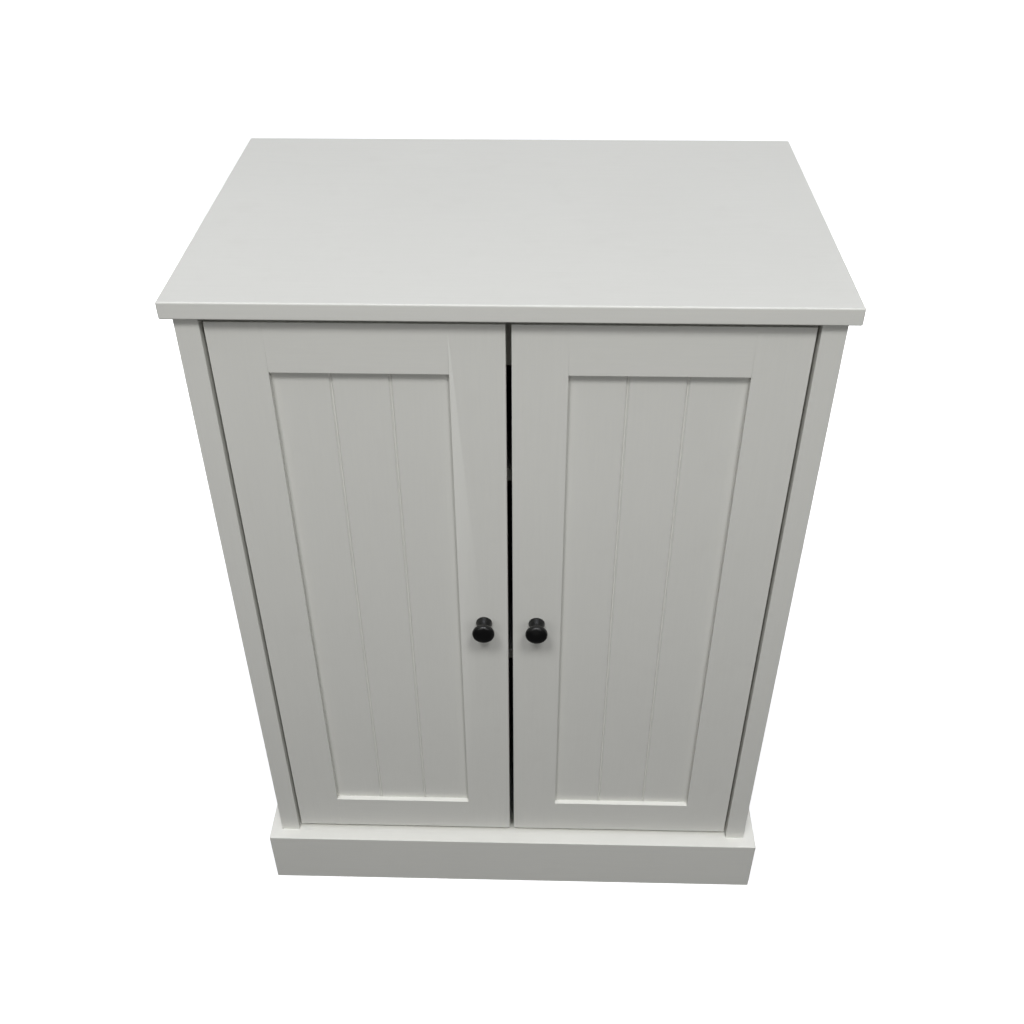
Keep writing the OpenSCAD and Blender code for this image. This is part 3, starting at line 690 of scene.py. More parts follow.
def dress(node: str, finish: Finish) -> None:
    """Gives a CAD node that stays visible its finish."""
    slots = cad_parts[node].data.materials
    slots.clear()
    slots.append(finish.material)
    log.info("%s keeps its own mesh", node)


def softened(
    node: str,
    finish: Finish,
    body: str,
    radius: float,
    picked: Callable[[bmesh.types.BMEdge], bool] = long_and_sharp,
    ending: str = "eased",
) -> None:
    """Replaces a CAD node by a copy with rounded edges.

    Args:
        node: The node.
        finish: Its finish.
        body: The body that it moves with.
        radius: How far in from the edge the rounding starts.
        picked: Says which edges are rounded.
        ending: What the piece's name adds to the node's.
    """
    add_piece(f"{node}_{ending}", ease(merged_copy(node), radius, picked), finish, body, [node])


# ---- Fasteners ----


@dataclass(frozen=True)
class Spot:
    """Where one fastener sits: its head, the way the head faces, its length and head's radius."""

    head: Vector
    aim: Vector
    length: float
    radius: float


def loose_parts(node: str) -> list[list[Vector]]:
    """The corner points of each separate solid of a CAD node."""
    bm = merged_copy(node)
    seen: set[bmesh.types.BMVert] = set()
    parts = []
    for start in bm.verts:
        if start in seen:
            continue
        seen.add(start)
        part = [start]
        for vert in part:
            fresh = {edge.other_vert(vert) for edge in vert.link_edges} - seen
            seen |= fresh
            part += fresh
        parts.append([vert.co.copy() for vert in part])
    bm.free()
    return parts


def corners(points: list[Vector]) -> tuple[Vector, Vector]:
    """The lowest and the highest corner of the box round some points."""
    low = Vector([min(p[i] for p in points) for i in range(3)])
    high = Vector([max(p[i] for p in points) for i in range(3)])
    return low, high


def spots(node: str) -> list[Spot]:
    """Finds each fastener of a CAD node.

    A fastener is as wide one way as the other, so the odd length is its own. Its head end has
    the more corners.
    """
    found = []
    for part in loose_parts(node):
        low, high = corners(part)
        size, middle = high - low, (low + high) / 2
        axis = min(range(3), key=lambda i: abs(size[(i + 1) % 3] - size[(i + 2) % 3]))
        reach = size[axis] * 0.2
        upper = sum(p[axis] > high[axis] - reach for p in part)
        lower = sum(p[axis] < low[axis] + reach for p in part)
        facing = 1 if upper >= lower else -1
        aim, head = Vector((0.0, 0.0, 0.0)), middle.copy()
        aim[axis] = facing
        head[axis] = high[axis] if facing > 0 else low[axis]
        found.append(Spot(head, aim, size[axis], size[(axis + 1) % 3] / 2))
    return found


def carved(body: bmesh.types.BMesh, cutter: bmesh.types.BMesh) -> bmesh.types.BMesh:
    """Cuts one closed mesh out of another, and uses both up."""
    blank = bpy.data.materials.get("blank") or bpy.data.materials.new("blank")
    block, tool = new_object("block", body, blank), new_object("tool", cutter, blank)
    cut = block.modifiers.new("cut", "BOOLEAN")
    cut.operation = "DIFFERENCE"
    cut.solver = "EXACT"
    cut.object = tool
    result = bmesh.new()
    result.from_object(block, bpy.context.evaluated_depsgraph_get())
    discard(block, tool)
    return result


@dataclass(frozen=True)
class Fastener:
    """A fastener turned from a profile, its head's face at z = 0 and its tip below.

    Attributes:
        shank: Radius of its shank.
        cross_reach: How far the cross in its head reaches, as a share of the head's radius.
        cross_depth: How deep the cross is, or 0 for none.
        steps: How many sides it has.
    """

    shank: float
    cross_reach: float = 0.6
    cross_depth: float = 0.0
    steps: int = 28

    def profile(self, head: float, length: float) -> list[Point2]:
        """Points (radius, height) from the tip up, for a head's radius and a length."""
        raise NotImplementedError

    def mesh(self, head: float, length: float) -> bmesh.types.BMesh:
        """Turns the fastener for a head's radius and a length, and cuts its cross."""
        body = lathe(self.profile(head, length), self.steps)
        for quarter in range(2 if self.cross_depth else 0):
            body = carved(body, self._bar(head * self.cross_reach, quarter))
        return body

    def _bar(self, reach: float, quarter: int) -> bmesh.types.BMesh:
        """One bar of the cross: it tapers downwards, and is turned by some quarter turns."""
        corner = Vector((reach, reach * 0.2, self.cross_depth))
        bar = box_mesh(-corner, corner)
        for vert in bar.verts:
            if vert.co.z < 0:
                vert.co.x *= 0.45
        spin = Matrix.Rotation(quarter * math.pi / 2, 4, "Z")
        bmesh.ops.transform(bar, matrix=spin, verts=bar.verts)
        return bar


@dataclass(frozen=True)
class SunkScrew(Fastener):
    """A countersunk wood screw: a point, a shank with thread ridges, a flat head."""

    cross_depth: float = 1.2 * MM

    def profile(self, head: float, length: float) -> list[Point2]:
        """Points (radius, height) from the tip up, for a head's radius and a length."""
        pitch, root = self.shank * 0.9, self.shank * 0.78
        cone = head - self.shank
        points = [(0.0, -length), (self.shank * 0.35, -length + self.shank * 0.5)]
        z = -length + 2 * self.shank
        while z < -cone - 2 * pitch:
            points += [(root, z), (self.shank, z + pitch * 0.45), (root, z + pitch * 0.9)]
            z += pitch
        points += [(self.shank * 0.85, -cone - pitch), (self.shank * 0.9, -cone)]
        return [*points, (head, -0.12 * MM), (head * 0.97, 0.0), (0.0, 0.0)]


@dataclass(frozen=True)
class PanScrew(Fastener):
    """A machine screw with a rounded head, as high as rise."""

    rise: float = 2.0 * MM

    def profile(self, head: float, length: float) -> list[Point2]:
        """Points (radius, height) from the tip up, for a head's radius and a length."""
        shank, rise = self.shank, self.rise
        foot = [(0.0, -length), (shank * 0.8, -length), (shank, -length + shank * 0.3)]
        dome = [(head, -rise * 0.45), (head * 0.90, -rise * 0.15), (head * 0.68, 0.0), (0.0, 0.0)]
        return [*foot, (shank, -rise), (head, -rise), *dome]


@dataclass(frozen=True)
class Nail(Fastener):
    """A panel nail with a low head, as high as rise."""

    steps: int = 16
    rise: float = 0.6 * MM

    def profile(self, head: float, length: float) -> list[Point2]:
        """Points (radius, height) from the tip up, for a head's radius and a length."""
        shank, rise = self.shank, self.rise
        foot = [(0.0, -length), (shank, -length + 2 * shank), (shank, -rise)]
        rim = [(head * 0.8, -rise * 0.9), (head, -rise * 0.4), (head * 0.92, -rise * 0.1)]
        return [*foot, *rim, (head * 0.5, 0.0), (0.0, 0.0)]


@dataclass(frozen=True)
class Cam(Fastener):
    """A cam: a drum with a rolled rim and a shallow dish in its face."""

    shank: float = 0.0
    cross_reach: float = 0.55
    cross_depth: float = 2.2 * MM
    steps: int = 40
    dish: float = 0.5 * MM

    def profile(self, head: float, length: float) -> list[Point2]:
        """Points (radius, height) from the bottom up, for the drum's radius and length."""
        foot = [(0.0, -length), (head - 0.4 * MM, -length), (head, -length + 0.4 * MM)]
        rim = [(head, -self.dish), (head - 0.15 * MM, -0.15 * MM), (head - 0.6 * MM, 0.0)]
        return [*foot, *rim, (head - 1.4 * MM, 0.0), (head - 1.8 * MM, -self.dish), (0.0, -self.dish)]


@dataclass(frozen=True)
class ShelfPin(Fastener):
    """A shelf pin: a rounded peg, a collar, and a round rest whose end is at z = 0."""

    rest: float = 3.0 * MM

    def profile(self, head: float, length: float) -> list[Point2]:
        """Points (radius, height) from the peg up, for the collar's radius and a length."""
        peg, rest, half = self.shank, self.rest, length / 2
        foot = [(0.0, -length), (peg * 0.7, -length), (peg, -length + 0.8 * MM), (peg, -half)]
        collar = [(head - 0.3 * MM, 0.0), (head, 0.3 * MM), (head, 1.1 * MM), (head - 0.4 * MM, 1.5 * MM)]
        end = [(rest, -0.7 * MM), (rest * 0.92, -0.3 * MM), (rest * 0.7, 0.0), (0.0, 0.0)]
        return [*foot, *[(r, z - half) for r, z in collar], (rest, -half + 1.5 * MM), *end]


class FastenerSetter(Nodes):
    """Geometry nodes that set a copy of a fastener on each point of a mesh.

    Each copy turns its Z axis to the point's own arrow, and is spun about it by chance.
    """

    def __init__(self, finishes: Finishes) -> None:
        """Builds the tree with its named inputs."""
        super().__init__(bpy.data.node_groups.new("set_fasteners", "GeometryNodeTree"))
        self.finishes = finishes
        face = self.tree.interface
        face.new_socket("Geometry", in_out="OUTPUT", socket_type="NodeSocketGeometry")
        inputs = {
            "Geometry": "Geometry",
            "Fastener": "Object",
            "Finish": "Material",
            "Largest Spin": "Float",
            "Seed": "Int",
        }
        for name, kind in inputs.items():
            face.new_socket(name, in_out="INPUT", socket_type=f"NodeSocket{kind}")
        given = (self.node("NodeGroupInput", {}, {}, name) for name in inputs)
        points, fastener, finish, largest, seed = given
        pattern = self.node("GeometryNodeObjectInfo", {}, {"Object": fastener}, "Geometry")
        settings = {"data_type": "FLOAT_VECTOR"}
        arrow = self.node("GeometryNodeInputNamedAttribute", settings, {"Name": AIM}, "Attribute")
        aimed = self.node("FunctionNodeAlignRotationToVector", {"axis": "Z"}, {"Vector": arrow})
        sockets = {3: largest, "Seed": seed}
        chance = self.node("FunctionNodeRandomValue", {"data_type": "FLOAT"}, sockets, 1)
        sockets = {"Axis": (0.0, 0.0, 1.0), "Angle": chance}
        spin = self.node("FunctionNodeAxisAngleToRotation", {}, sockets)
        sockets = {"Rotation": aimed, "Rotate By": spin}
        turned = self.node("FunctionNodeRotateRotation", {"rotation_space": "LOCAL"}, sockets)
        sockets = {"Points": points, "Instance": pattern, "Rotation": turned}
        copies = self.node("GeometryNodeInstanceOnPoints", {}, sockets)
        real = self.node("GeometryNodeRealizeInstances", {}, {"Geometry": copies})
        coated = self.node("GeometryNodeSetMaterial", {}, {"Geometry": real, "Material": finish})
        self.node("NodeGroupOutput", {}, {"Geometry": coated})

    def _fitted(
        self, name: str, places: list[Spot], fastener: bmesh.types.BMesh, finish: Finish, seed: int
    ) -> bpy.types.Object:
        """Sets a fastener at each place.

        Args:
            name: The new piece's name.
            places: Where they go.
            fastener: The fastener's mesh, which is used up.
            finish: Its finish.
            seed: Fixes how each is spun.

        Returns:
            One plain mesh object of all the fasteners.
        """
        pattern = new_object(f"{name}_pattern", fastener, finish.material)
        mesh = bpy.data.meshes.new(f"{name}_places")
        mesh.from_pydata([spot.head for spot in places], [], [])
        arrows = mesh.attributes.new(AIM, "FLOAT_VECTOR", "POINT")
        arrows.data.foreach_set("vector", [x for spot in places for x in spot.aim])
        host = linked(f"{name}_host", mesh)
        modifier = host.modifiers.new("set_fasteners", "NODES")
        modifier.node_group = self.tree
        given = {
            "Fastener": pattern,
            "Finish": finish.material,
            "Largest Spin": math.pi,
            "Seed": seed,
        }
        for item in self.tree.interface.items_tree:
            if item.in_out == "INPUT" and item.name in given:
                modifier[item.identifier] = given[item.name]
        bpy.context.view_layer.update()
        depsgraph = bpy.context.evaluated_depsgraph_get()
        result = bpy.data.meshes.new_from_object(host.evaluated_get(depsgraph))
        host.modifiers.clear()
        discard(host, pattern)
        result.name = name
        return linked(name, result)

    def set(
        self,
        node: str,
        fastener: Fastener,
        body: str,
        seed: int,
        finish: Finish | None = None,
        ending: str = "turned",
        places: list[Spot] | None = None,
    ) -> None:
        """Replaces fasteners of a CAD node that are all of one size.

        Args:
            node: The node.
            fastener: What takes their place.
            body: The body that they move with.
            seed: Fixes how each is spun.
            finish: Their finish, or None for zinc.
            ending: What the piece's name adds to the node's.
            places: Where they go, or None for where the node has them.
        """
        finish, places = finish or self.finishes.zinc, places or spots(node)
        mesh = fastener.mesh(places[0].radius, places[0].length)
        piece = self._fitted(f"{node}_{ending}", places, mesh, finish, seed)
        register(piece, body, [node])

    def set_sunk(self, node: str, shank: float, body: str, seed: int) -> None:
        """Replaces a CAD node of countersunk screws, with one piece for each length.

        Args:
            node: The node.
            shank: Radius of the screws' shanks.
            body: The body that they move with.
            seed: Fixes how each is spun.
        """
        rounded = [replace(spot, length=round(spot.length, 4)) for spot in spots(node)]
        for number, length in enumerate(sorted({spot.length for spot in rounded})):
            places = [spot for spot in rounded if spot.length == length]
            screw, ending = SunkScrew(shank), f"turned_{number}"
            self.set(node, screw, body, seed + number, ending=ending, places=places)


# ---- Sub-assemblies ----


@dataclass
class Carcass:
    """The boards that make the box, with the top.

    Attributes:
        finishes: The cupboard's finishes.
        top_round: Radius of the top's edges.
        arris: Radius of the other boards' edges.
        film_arris: Radius of an edge that meets another board.
    """

    finishes: Finishes
    top_round: float = 1.8 * MM
    arris: float = 0.7 * MM
    film_arris: float = 0.35 * MM

    def build(self) -> None:
        """Makes the top, rounded on every edge, and softens every board."""
        across, up = self.finishes.painted[Grain.ALONG_X], self.finishes.painted[Grain.ALONG_Z]
        slab = ease(box_mesh(*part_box("top_panel")), self.top_round, sharp, steps=4)
        add_piece("top_slab", slab, across, CABINET, ["top_panel"])
        for side in Side:
            softened(f"{side.value}_side_panel", up, CABINET, self.film_arris)
            softened(f"{side.value}_front_stile", up, CABINET, self.arris)
        softened("bottom_panel", across, CABINET, self.film_arris)
        softened("back_panel", self.finishes.hardboard, CABINET, self.film_arris)
        for node in ("upper_shelf", "lower_shelf"):
            softened(node, across, CABINET, self.arris)
        for node in ("top_front_rail", "top_back_rail"):
            softened(node, across, CABINET, self.film_arris)
        softened("back_foot_rail", self.finishes.raw, CABINET, self.film_arris)


@dataclass
class Plinth:
    """The mitred boards round the foot, and their corner blocks.

    Attributes:
        finishes: The cupboard's finishes.
        corner_round: Radius of the two front corners.
        top_round: Radius of the boards' top edge.
        block_arris: Radius of the corner blocks' edges.
    """

    finishes: Finishes
    corner_round: float = 1.5 * MM
    top_round: float = 1.0 * MM
    block_arris: float = 0.6 * MM

    def build(self) -> None:
        """Makes the three boards and the corner blocks."""
        front_low, front_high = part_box("plinth_front")
        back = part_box("plinth_left")[1].y
        out, board = front_high.x, front_high.y - front_low.y
        middle = (out - self.corner_round, front_low.y + self.corner_round)
        inner = (out - board, front_high.y)
        half = [*arc(middle, self.corner_round, -90, -45, 3), inner]
        self._board("plinth_front", [*half, *mirrored(half)[::-1]], Grain.ALONG_X)
        outside = [inner, *arc(middle, self.corner_round, -45, 0, 3), (out, back)]
        flank = [*outside, (out - board, back)]
        self._board("plinth_right", flank, Grain.ALONG_Y)
        self._board("plinth_left", mirrored(flank), Grain.ALONG_Y)
        softened("plinth_corner_blocks", self.finishes.pine, CABINET, self.block_arris)

    def _board(self, node: str, outline: list[Point2], grain: Grain) -> None:
        """Raises one board from its outline and rounds its outer top edge.

        Args:
            node: The CAD node that it replaces.
            outline: Its outline from above.
            grain: The way its grain runs.
        """
        low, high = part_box("plinth_front")

        def outer_top(edge: bmesh.types.BMEdge) -> bool:
            """Says whether an edge runs along the outside of the top."""
            middle = (edge.verts[0].co + edge.verts[1].co) / 2
            on_top = all(v.co.z > high.z - WELD for v in edge.verts)
            beside = abs(middle.x) > high.x - self.corner_round
            outside = beside or middle.y < low.y + self.corner_round
            run = edge.verts[0].co - edge.verts[1].co
            mitre = abs(abs(run.x) - abs(run.y)) < WELD
            return on_top and outside and not mitre and edge.calc_face_angle() > SHARP

        board = ease(prism(outline, 0.0, high.z), self.top_round, outer_top, steps=3)
        add_piece(f"{node}_board", board, self.finishes.painted[grain], CABINET, [node])


@dataclass
class DoorPart:
    """Something that one door carries.

    Attributes:
        side: Which door it is.
        finishes: The cupboard's finishes.
        fasteners: What sets fasteners.
    """

    side: Side
    finishes: Finishes
    fasteners: FastenerSetter

    def _node(self, part: str) -> str:
        """The CAD node of a part on this side."""
        return f"{self.side.value}_{part}"


@dataclass
class Door(DoorPart):
    """One door: a frame of two stiles and two rails round a grooved panel.

    Attributes:
        boards: How many boards the panel's grooves draw.
        groove_width: Width of a groove, with the shoulders that its paint rounds off.
        groove_depth: Depth of a groove under its paint.
        outer_arris: Radius of the door's outer edges.
        joint_arris: Radius of the edges where the frame's pieces meet.
    """

    boards: int = 3
    groove_width: float = 4.4 * MM
    groove_depth: float = 1.9 * MM
    outer_arris: float = 0.9 * MM
    joint_arris: float = 0.22 * MM

    def build(self) -> None:
        """Makes the frame and the panel."""
        up, across = self.finishes.painted[Grain.ALONG_Z], self.finishes.painted[Grain.ALONG_X]
        stiles = [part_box(self._node(f"door_{part}_stile")) for part in ("hinge", "knob")]
        low = Vector(map(min, stiles[0][0], stiles[1][0]))
        high = Vector(map(max, stiles[0][1], stiles[1][1]))
        for part, finish in (
            ("hinge_stile", up),
            ("knob_stile", up),
            ("top_rail", across),
            ("bottom_rail", across),
        ):
            self._member(self._node(f"door_{part}"), finish, low, high)
        start, end = min(box[1].x for box in stiles), max(box[0].x for box in stiles)
        self._panel(up, start, end)

    def _member(self, node: str, finish: Finish, low: Vector, high: Vector) -> None:
        """Softens one member of the frame, more at the door's outer edges.

        Args:
            node: The member's CAD node.
            finish: Its finish.
            low: The whole door's lowest corner.
            high: The whole door's highest corner.
        """

        def outer(edge: bmesh.types.BMEdge) -> bool:
            """Says whether a sharp edge lies on the rim of the whole door's front or back."""
            ends = [vert.co for vert in edge.verts]
            on_side, on_face, on_end = (
                any(all(abs(end[i] - limit[i]) < WELD for end in ends) for limit in (low, high))
                for i in range(3)
            )
            return long_and_sharp(edge) and on_face and (on_side or on_end)

        def inner(edge: bmesh.types.BMEdge) -> bool:
            """Says whether a sharp edge is none of those."""
            return long_and_sharp(edge) and not any(f[worn] > 0 for f in edge.link_faces)

        bm = ease(merged_copy(node), self.outer_arris, outer)
        worn = bm.faces.layers.float[WEAR]
        ease(bm, self.joint_arris, inner)
        add_piece(f"{node}_eased", bm, finish, self.side.door_body, [node])

    def _panel(self, finish: Finish, start: float, end: float) -> None:
        """Makes the panel with its grooves, each dividing two boards of one width.

        Args:
            finish: The panel's finish.
            start: Where the first board starts along X.
            end: Where the last board ends.
        """
        node = self._node("door_panel")
        low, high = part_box(node)
        half = [(-1.0, 0.0), (-0.86, 0.06), (-0.72, 0.22), (-0.20, 0.86), (-0.08, 0.97)]
        outline = [(low.x, low.y)]
        for i in range(1, self.boards):
            x = start + (end - start) * i / self.boards
            for across, deep in (*half, (0.0, 1.0), *mirrored(half)[::-1]):
                outline.append((x + across * self.groove_width / 2, low.y + deep * self.groove_depth))
        outline += [(high.x, low.y), (high.x, high.y), (low.x, high.y)]
        panel = prism(outline, low.z, high.z)
        add_piece(f"{node}_grooved", panel, finish, self.side.door_body, [node])


@dataclass
class Knob(DoorPart):
    """A turned black knob and the screw that holds it from behind.

    Attributes:
        steps: How many sides the knob has.
        screw: The screw's kind.
    """

    steps: int = 72
    screw: Fastener = PanScrew(2.0 * MM, cross_depth=1.4 * MM, rise=2.4 * MM)

    def build(self) -> None:
        """Makes the knob and sets its screw."""
        node = self._node("knob")
        low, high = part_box(node)
        radius, reach = (high.x - low.x) / 2, high.y - low.y
        foot = [(0.0, 0.0), (0.66, 0.0), (0.715, 0.012), (0.735, 0.045), (0.722, 0.085), (0.70, 0.115)]
        neck = [(0.645, 0.20), (0.565, 0.30), (0.515, 0.39), (0.515, 0.46), (0.60, 0.535)]
        head = [(0.78, 0.595), (0.925, 0.650), (0.990, 0.715), (1.0, 0.775), (0.985, 0.835)]
        face = [(0.93, 0.890), (0.80, 0.935), (0.55, 0.975), (0.28, 0.995), (0.0, 1.0)]
        curve = flowing([*foot, *neck, *head, *face], 4)
        bm = lathe([(max(r, 0.0) * radius, z * reach) for r, z in curve], self.steps)
        middle = (low + high) / 2
        place = Matrix.Translation((middle.x, high.y, middle.z)) @ Matrix.Rotation(math.pi / 2, 4, "X")
        bmesh.ops.transform(bm, matrix=place, verts=bm.verts)
        add_piece(f"{node}_turned", bm, self.finishes.black, self.side.door_body, [node])
        self.fasteners.set(f"{node}_screw", self.screw, self.side.door_body, seed=3)


@dataclass
class Hinges(DoorPart):
    """The concealed hinges of one door, with all their screws.

    Attributes:
        arris: Radius of the pressed steel's edges.
        plate_screw: Radius of the plate screws' shanks.
        cup_screw: Radius of the cup screws' shanks.
        clamp: The kind of screw that clamps an arm to its plate.
    """

    arris: float = 0.3 * MM
    plate_screw: float = 1.75 * MM
    cup_screw: float = 1.6 * MM
    clamp: Fastener = PanScrew(2.0 * MM, cross_reach=0.62, cross_depth=1.3 * MM)

    def build(self) -> None:
        """Softens the steel parts and sets the screws."""
        door = self.side.door_body
        for part, body in (("plates", CABINET), ("arms", CABINET), ("cups", door)):
            node = self._node(f"hinge_{part}")
            softened(node, self.finishes.nickel, body, self.arris, sharp, "pressed")
        dress(self._node("hinge_pins"), self.finishes.zinc)
        self.fasteners.set_sunk(self._node("hinge_plate_screws"), self.plate_screw, CABINET, seed=11)
        self.fasteners.set_sunk(self._node("cup_screws"), self.cup_screw, door, seed=12)
        self.fasteners.set(self._node("hinge_arm_screws"), self.clamp, CABINET, seed=5)


@dataclass
class Catches:
    """The magnetic catches under the rail and their strike plates on the doors.

    Attributes:
        finishes: The cupboard's finishes.
        fasteners: What sets fasteners.
        body_arris: Radius of the catches' edges.
        plate_arris: Radius of the strike plates' edges.
        body_screw: Radius of the catch screws' shanks.
        plate_screw: Radius of the strike screws' shanks.
    """

    finishes: Finishes
    fasteners: FastenerSetter
    body_arris: float = 0.5 * MM
    plate_arris: float = 0.25 * MM
    body_screw: float = 1.75 * MM
    plate_screw: float = 1.5 * MM

    def build(self) -> None:
        """Softens the bodies and the plates, and sets the screws."""
        plastic, nickel = self.finishes.plastic, self.finishes.nickel
        softened("catch_bodies", plastic, CABINET, self.body_arris, sharp, "moulded")
        dress("catch_magnets", self.finishes.ferrite)
        self.fasteners.set_sunk("catch_screws", self.body_screw, CABINET, seed=21)
        for side in Side:
            plate, screw = f"{side.value}_strike_plate", f"{side.value}_strike_screw"
            softened(plate, nickel, side.door_body, self.plate_arris, sharp, "pressed")
            self.fasteners.set_sunk(screw, self.plate_screw, side.door_body, seed=31)


@dataclass
class JointFittings:
    """The cams, bolts, dowels, nails, plinth screws and shelf pins that hold the boards.

    Attributes:
        finishes: The cupboard's finishes.
        fasteners: What sets fasteners.
        plinth_screw: Radius of the plinth screws' shanks.
        nail: The back panel's kind of nail.
        pin: The shelves' kind of pin.
    """

    finishes: Finishes
    fasteners: FastenerSetter
    plinth_screw: float = 1.75 * MM
    nail: Fastener = Nail(0.75 * MM)
    pin: Fastener = ShelfPin(2.5 * MM)

    def build(self) -> None:
        """Sets what can be seen, and dresses what the boards hide."""
        dress("cam_bolts", self.finishes.zinc)
        dress("wood_dowels", self.finishes.pine)
        self.fasteners.set_sunk("plinth_screws", self.plinth_screw, CABINET, seed=41)
        self.fasteners.set("cam_locks", Cam(), CABINET, seed=51)
        self.fasteners.set("back_panel_nails", self.nail, CABINET, seed=61, ending="driven")
        for node in ("upper_shelf_pins", "lower_shelf_pins"):
            places = [self._inward(spot) for spot in spots(node)]
            nickel = self.finishes.nickel
            self.fasteners.set(node, self.pin, CABINET, seed=71, finish=nickel, places=places)

    @staticmethod
    def _inward(spot: Spot) -> Spot:
        """A shelf pin's spot, turned so that its rest points towards the middle."""
        aim = Vector((-math.copysign(1.0, spot.head.x), 0.0, 0.0))
        turned_round = spot.aim.dot(aim) < 0
        head = spot.head + aim * spot.length if turned_round else spot.head
        return replace(spot, head=head, aim=aim)


# ---- Studio ----


@dataclass(frozen=True)
class Sun:
    """Two lights, so far off that they reach everything alike, to the left and right in front.

    Attributes:
        strength: Their power together, in watts to the square metre.
        height: Their angle above the floor, in degrees.
        aside: Their angle to either side of straight ahead, in degrees.
        spread: How wide each looks, in degrees: the wider, the softer its shadows.
        tint: Their colour.
    """

    strength: float
    height: float
    aside: float
    spread: float
    tint: Size3 = (1.0, 1.0, 1.0)

    def hang(self, name: str) -> None:
        """Adds the lights under a name."""
        for side in Side:
            light = bpy.data.lights.new(name, "SUN")
            light.energy = self.strength / 2
            light.angle = math.radians(self.spread)
            light.color = self.tint
            angles = (90 - self.height, 0.0, side.sign * self.aside)
            linked(f"{name}_{side.value}", light).rotation_euler = [*map(math.radians, angles)]


@dataclass(frozen=True)
class Lamp:
    """Two soft square lamps near the cupboard, left and right, aimed at its doors.

    Attributes:
        power: Their power together, in watts.
        size: The length of a lamp's side.
        place: Where the right one hangs.
    """

    power: float
    size: float
    place: Size3

    def hang(self, name: str) -> None:
        """Adds the lamps under a name."""
        for side in Side:
            light = bpy.data.lights.new(name, "AREA")
            light.energy = self.power / 2
            light.size = self.size
            lamp = linked(f"{name}_{side.value}", light)
            lamp.location = (side.sign * self.place[0], self.place[1], self.place[2])
            aim = Vector((0.0, 0.0, CAD_BOUNDS[1][2] * 0.6)) - lamp.location
            lamp.rotation_euler = aim.to_track_quat("-Z", "Y").to_euler()


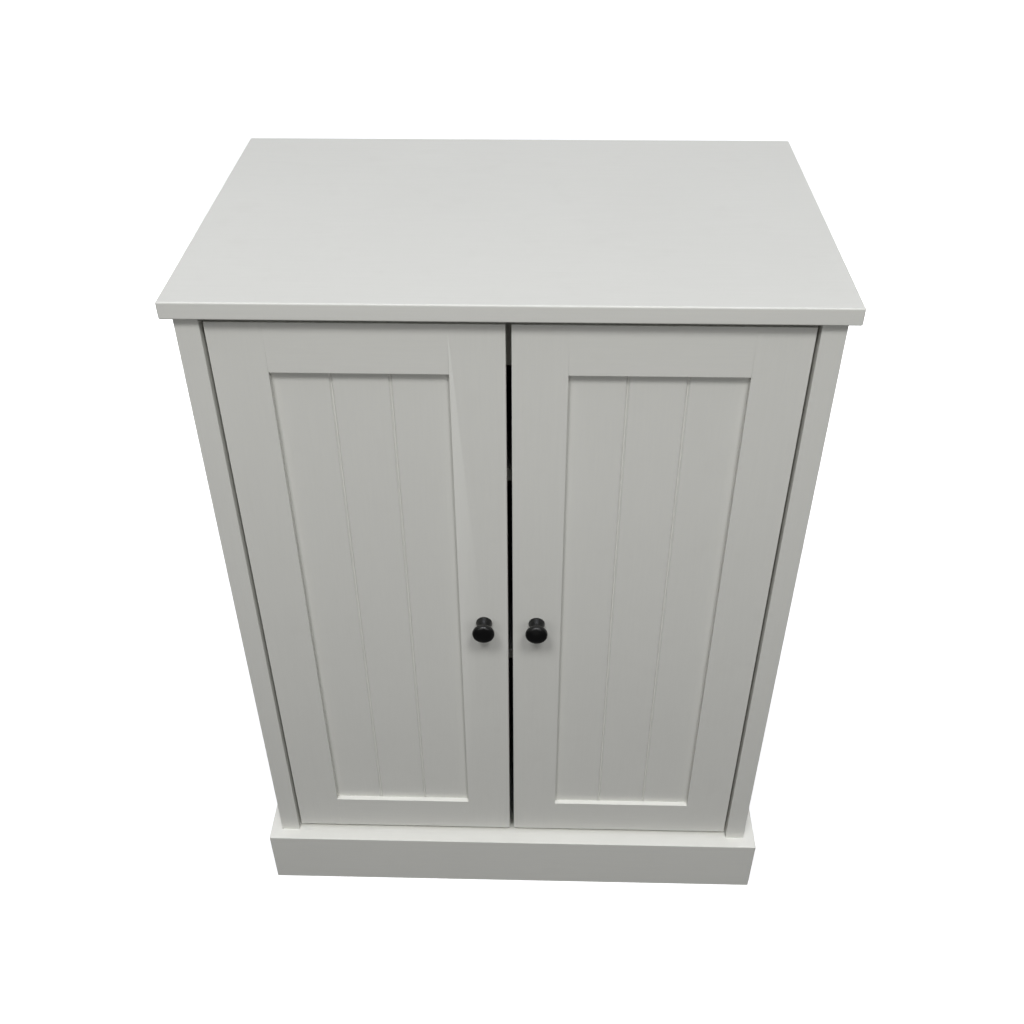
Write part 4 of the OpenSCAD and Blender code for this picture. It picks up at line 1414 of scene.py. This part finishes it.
@dataclass
class Studio:
    """A pale floor and wall, soft light and the camera.

    Attributes:
        eye: The camera's place: sideways from the middle, in front of the stiles, above the floor.
        turn: How far the camera turns to the left, in degrees.
        dip: How far it looks down, in degrees.
        tilt: How far its own right side drops, in degrees.
        lens: Its focal length in millimetres, on a film 36 mm wide.
        wall_radius: Radius of the round floor and of the wall on its rim.
        wall_height: The wall's height.
        wall_sides: How many sides both have.
        wall_glow: How strongly the wall is lit from within.
        sky: The sky's colour.
        sky_strength: Its strength overhead.
        ground_share: Its strength from below, as a share of that.
        lights: The suns and lamps, by name.
    """

    eye: Size3 = (0.0295, 0.9087, 1.3591)
    turn: float = 1.696
    dip: float = 38.422
    tilt: float = -0.293
    lens: float = 39.27
    wall_radius: float = 12.0
    wall_height: float = 16.0
    wall_sides: int = 96
    wall_glow: float = 0.70
    sky: Colour = (0.98, 0.99, 1.0, 1.0)
    sky_strength: float = 0.09
    ground_share: float = 0.60
    lights: tuple[tuple[str, Sun | Lamp], ...] = (
        ("key", Sun(strength=1.72, height=59.0, aside=22.0, spread=13.0)),
        ("overhead", Sun(strength=0.80, height=90.0, aside=0.0, spread=40.0, tint=(0.93, 0.96, 1.08))),
        ("ceiling", Lamp(power=4.8, size=0.40, place=(0.45, -1.00, 2.00))),
        ("fill", Lamp(power=1.75, size=0.35, place=(0.38, -1.05, 0.90))),
        ("rear", Lamp(power=22.0, size=0.80, place=(1.30, 1.60, 0.75))),
    )

    def build(self) -> None:
        """Sets the stage."""
        sides, radius = self.wall_sides, self.wall_radius
        floor, wall = bmesh.new(), bmesh.new()
        bmesh.ops.create_circle(floor, cap_ends=True, segments=sides, radius=radius)
        self._backdrop("floor", floor, PaleFloor())
        middle = Matrix.Translation((0.0, 0.0, self.wall_height / 2))
        size = {"radius1": radius, "radius2": radius, "depth": self.wall_height}
        bmesh.ops.create_cone(wall, cap_ends=False, segments=sides, matrix=middle, **size)
        self._backdrop("wall", wall, PaleFloor(glow=self.wall_glow))
        self._sky()
        for name, light in self.lights:
            light.hang(name)
        self._camera()
        bpy.context.scene.view_settings.view_transform = "Standard"

    def _backdrop(self, name: str, bm: bmesh.types.BMesh, finish: PaleFloor) -> None:
        """Adds a surface that shows, but throws no light or shadow on the cupboard.

        Args:
            name: Its name.
            bm: Its mesh.
            finish: Its finish.
        """
        surface = new_object(name, bm, finish.material())
        surface.visible_diffuse = False
        surface.visible_glossy = False
        surface.visible_shadow = False

    def _sky(self) -> None:
        """Lights everything evenly from above, and less from below."""
        world = bpy.data.worlds.new("studio")
        world.use_nodes = True
        bpy.context.scene.world = world
        sky = Nodes(world.node_tree)
        place = sky.node("ShaderNodeTexCoord", {}, {}, "Generated")
        height = sky.node("ShaderNodeSeparateXYZ", {}, {0: place}, "Z")
        strengths = {"To Min": self.ground_share * self.sky_strength, "To Max": self.sky_strength}
        sockets = {"Value": height, "From Min": -0.15, "From Max": 0.15, **strengths}
        strength = sky.node("ShaderNodeMapRange", {}, sockets)
        glow = sky.node("ShaderNodeBackground", {}, {"Color": self.sky, "Strength": strength})
        sky.node("ShaderNodeOutputWorld", {}, {"Surface": glow})

    def _camera(self) -> None:
        """Sets the camera, measured from the stiles' front face."""
        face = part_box("left_front_stile")[0].y
        data = bpy.data.cameras.new("camera")
        data.lens = self.lens
        data.sensor_width = 36.0
        aim = Matrix.Rotation(math.radians(self.turn), 4, "Z")
        aim @= Matrix.Rotation(math.radians(90 - self.dip), 4, "X")
        aim @= Matrix.Rotation(math.radians(self.tilt), 4, "Z")
        place = (self.eye[0], face - self.eye[1], self.eye[2])
        camera = linked("camera", data)
        camera.matrix_world = Matrix.Translation(place) @ aim
        bpy.context.scene.camera = camera


def main() -> None:
    """Builds the studio, then the cupboard's sub-assemblies in order."""
    logging.basicConfig(level=logging.INFO, format="%(message)s")
    Studio().build()
    finishes = Finishes()
    fasteners = FastenerSetter(finishes)
    Carcass(finishes).build()
    Plinth(finishes).build()
    JointFittings(finishes, fasteners).build()
    for side in Side:
        for part in (Door, Knob, Hinges):
            part(side, finishes, fasteners).build()
    Catches(finishes, fasteners).build()


if __name__ == "__main__":
    main()
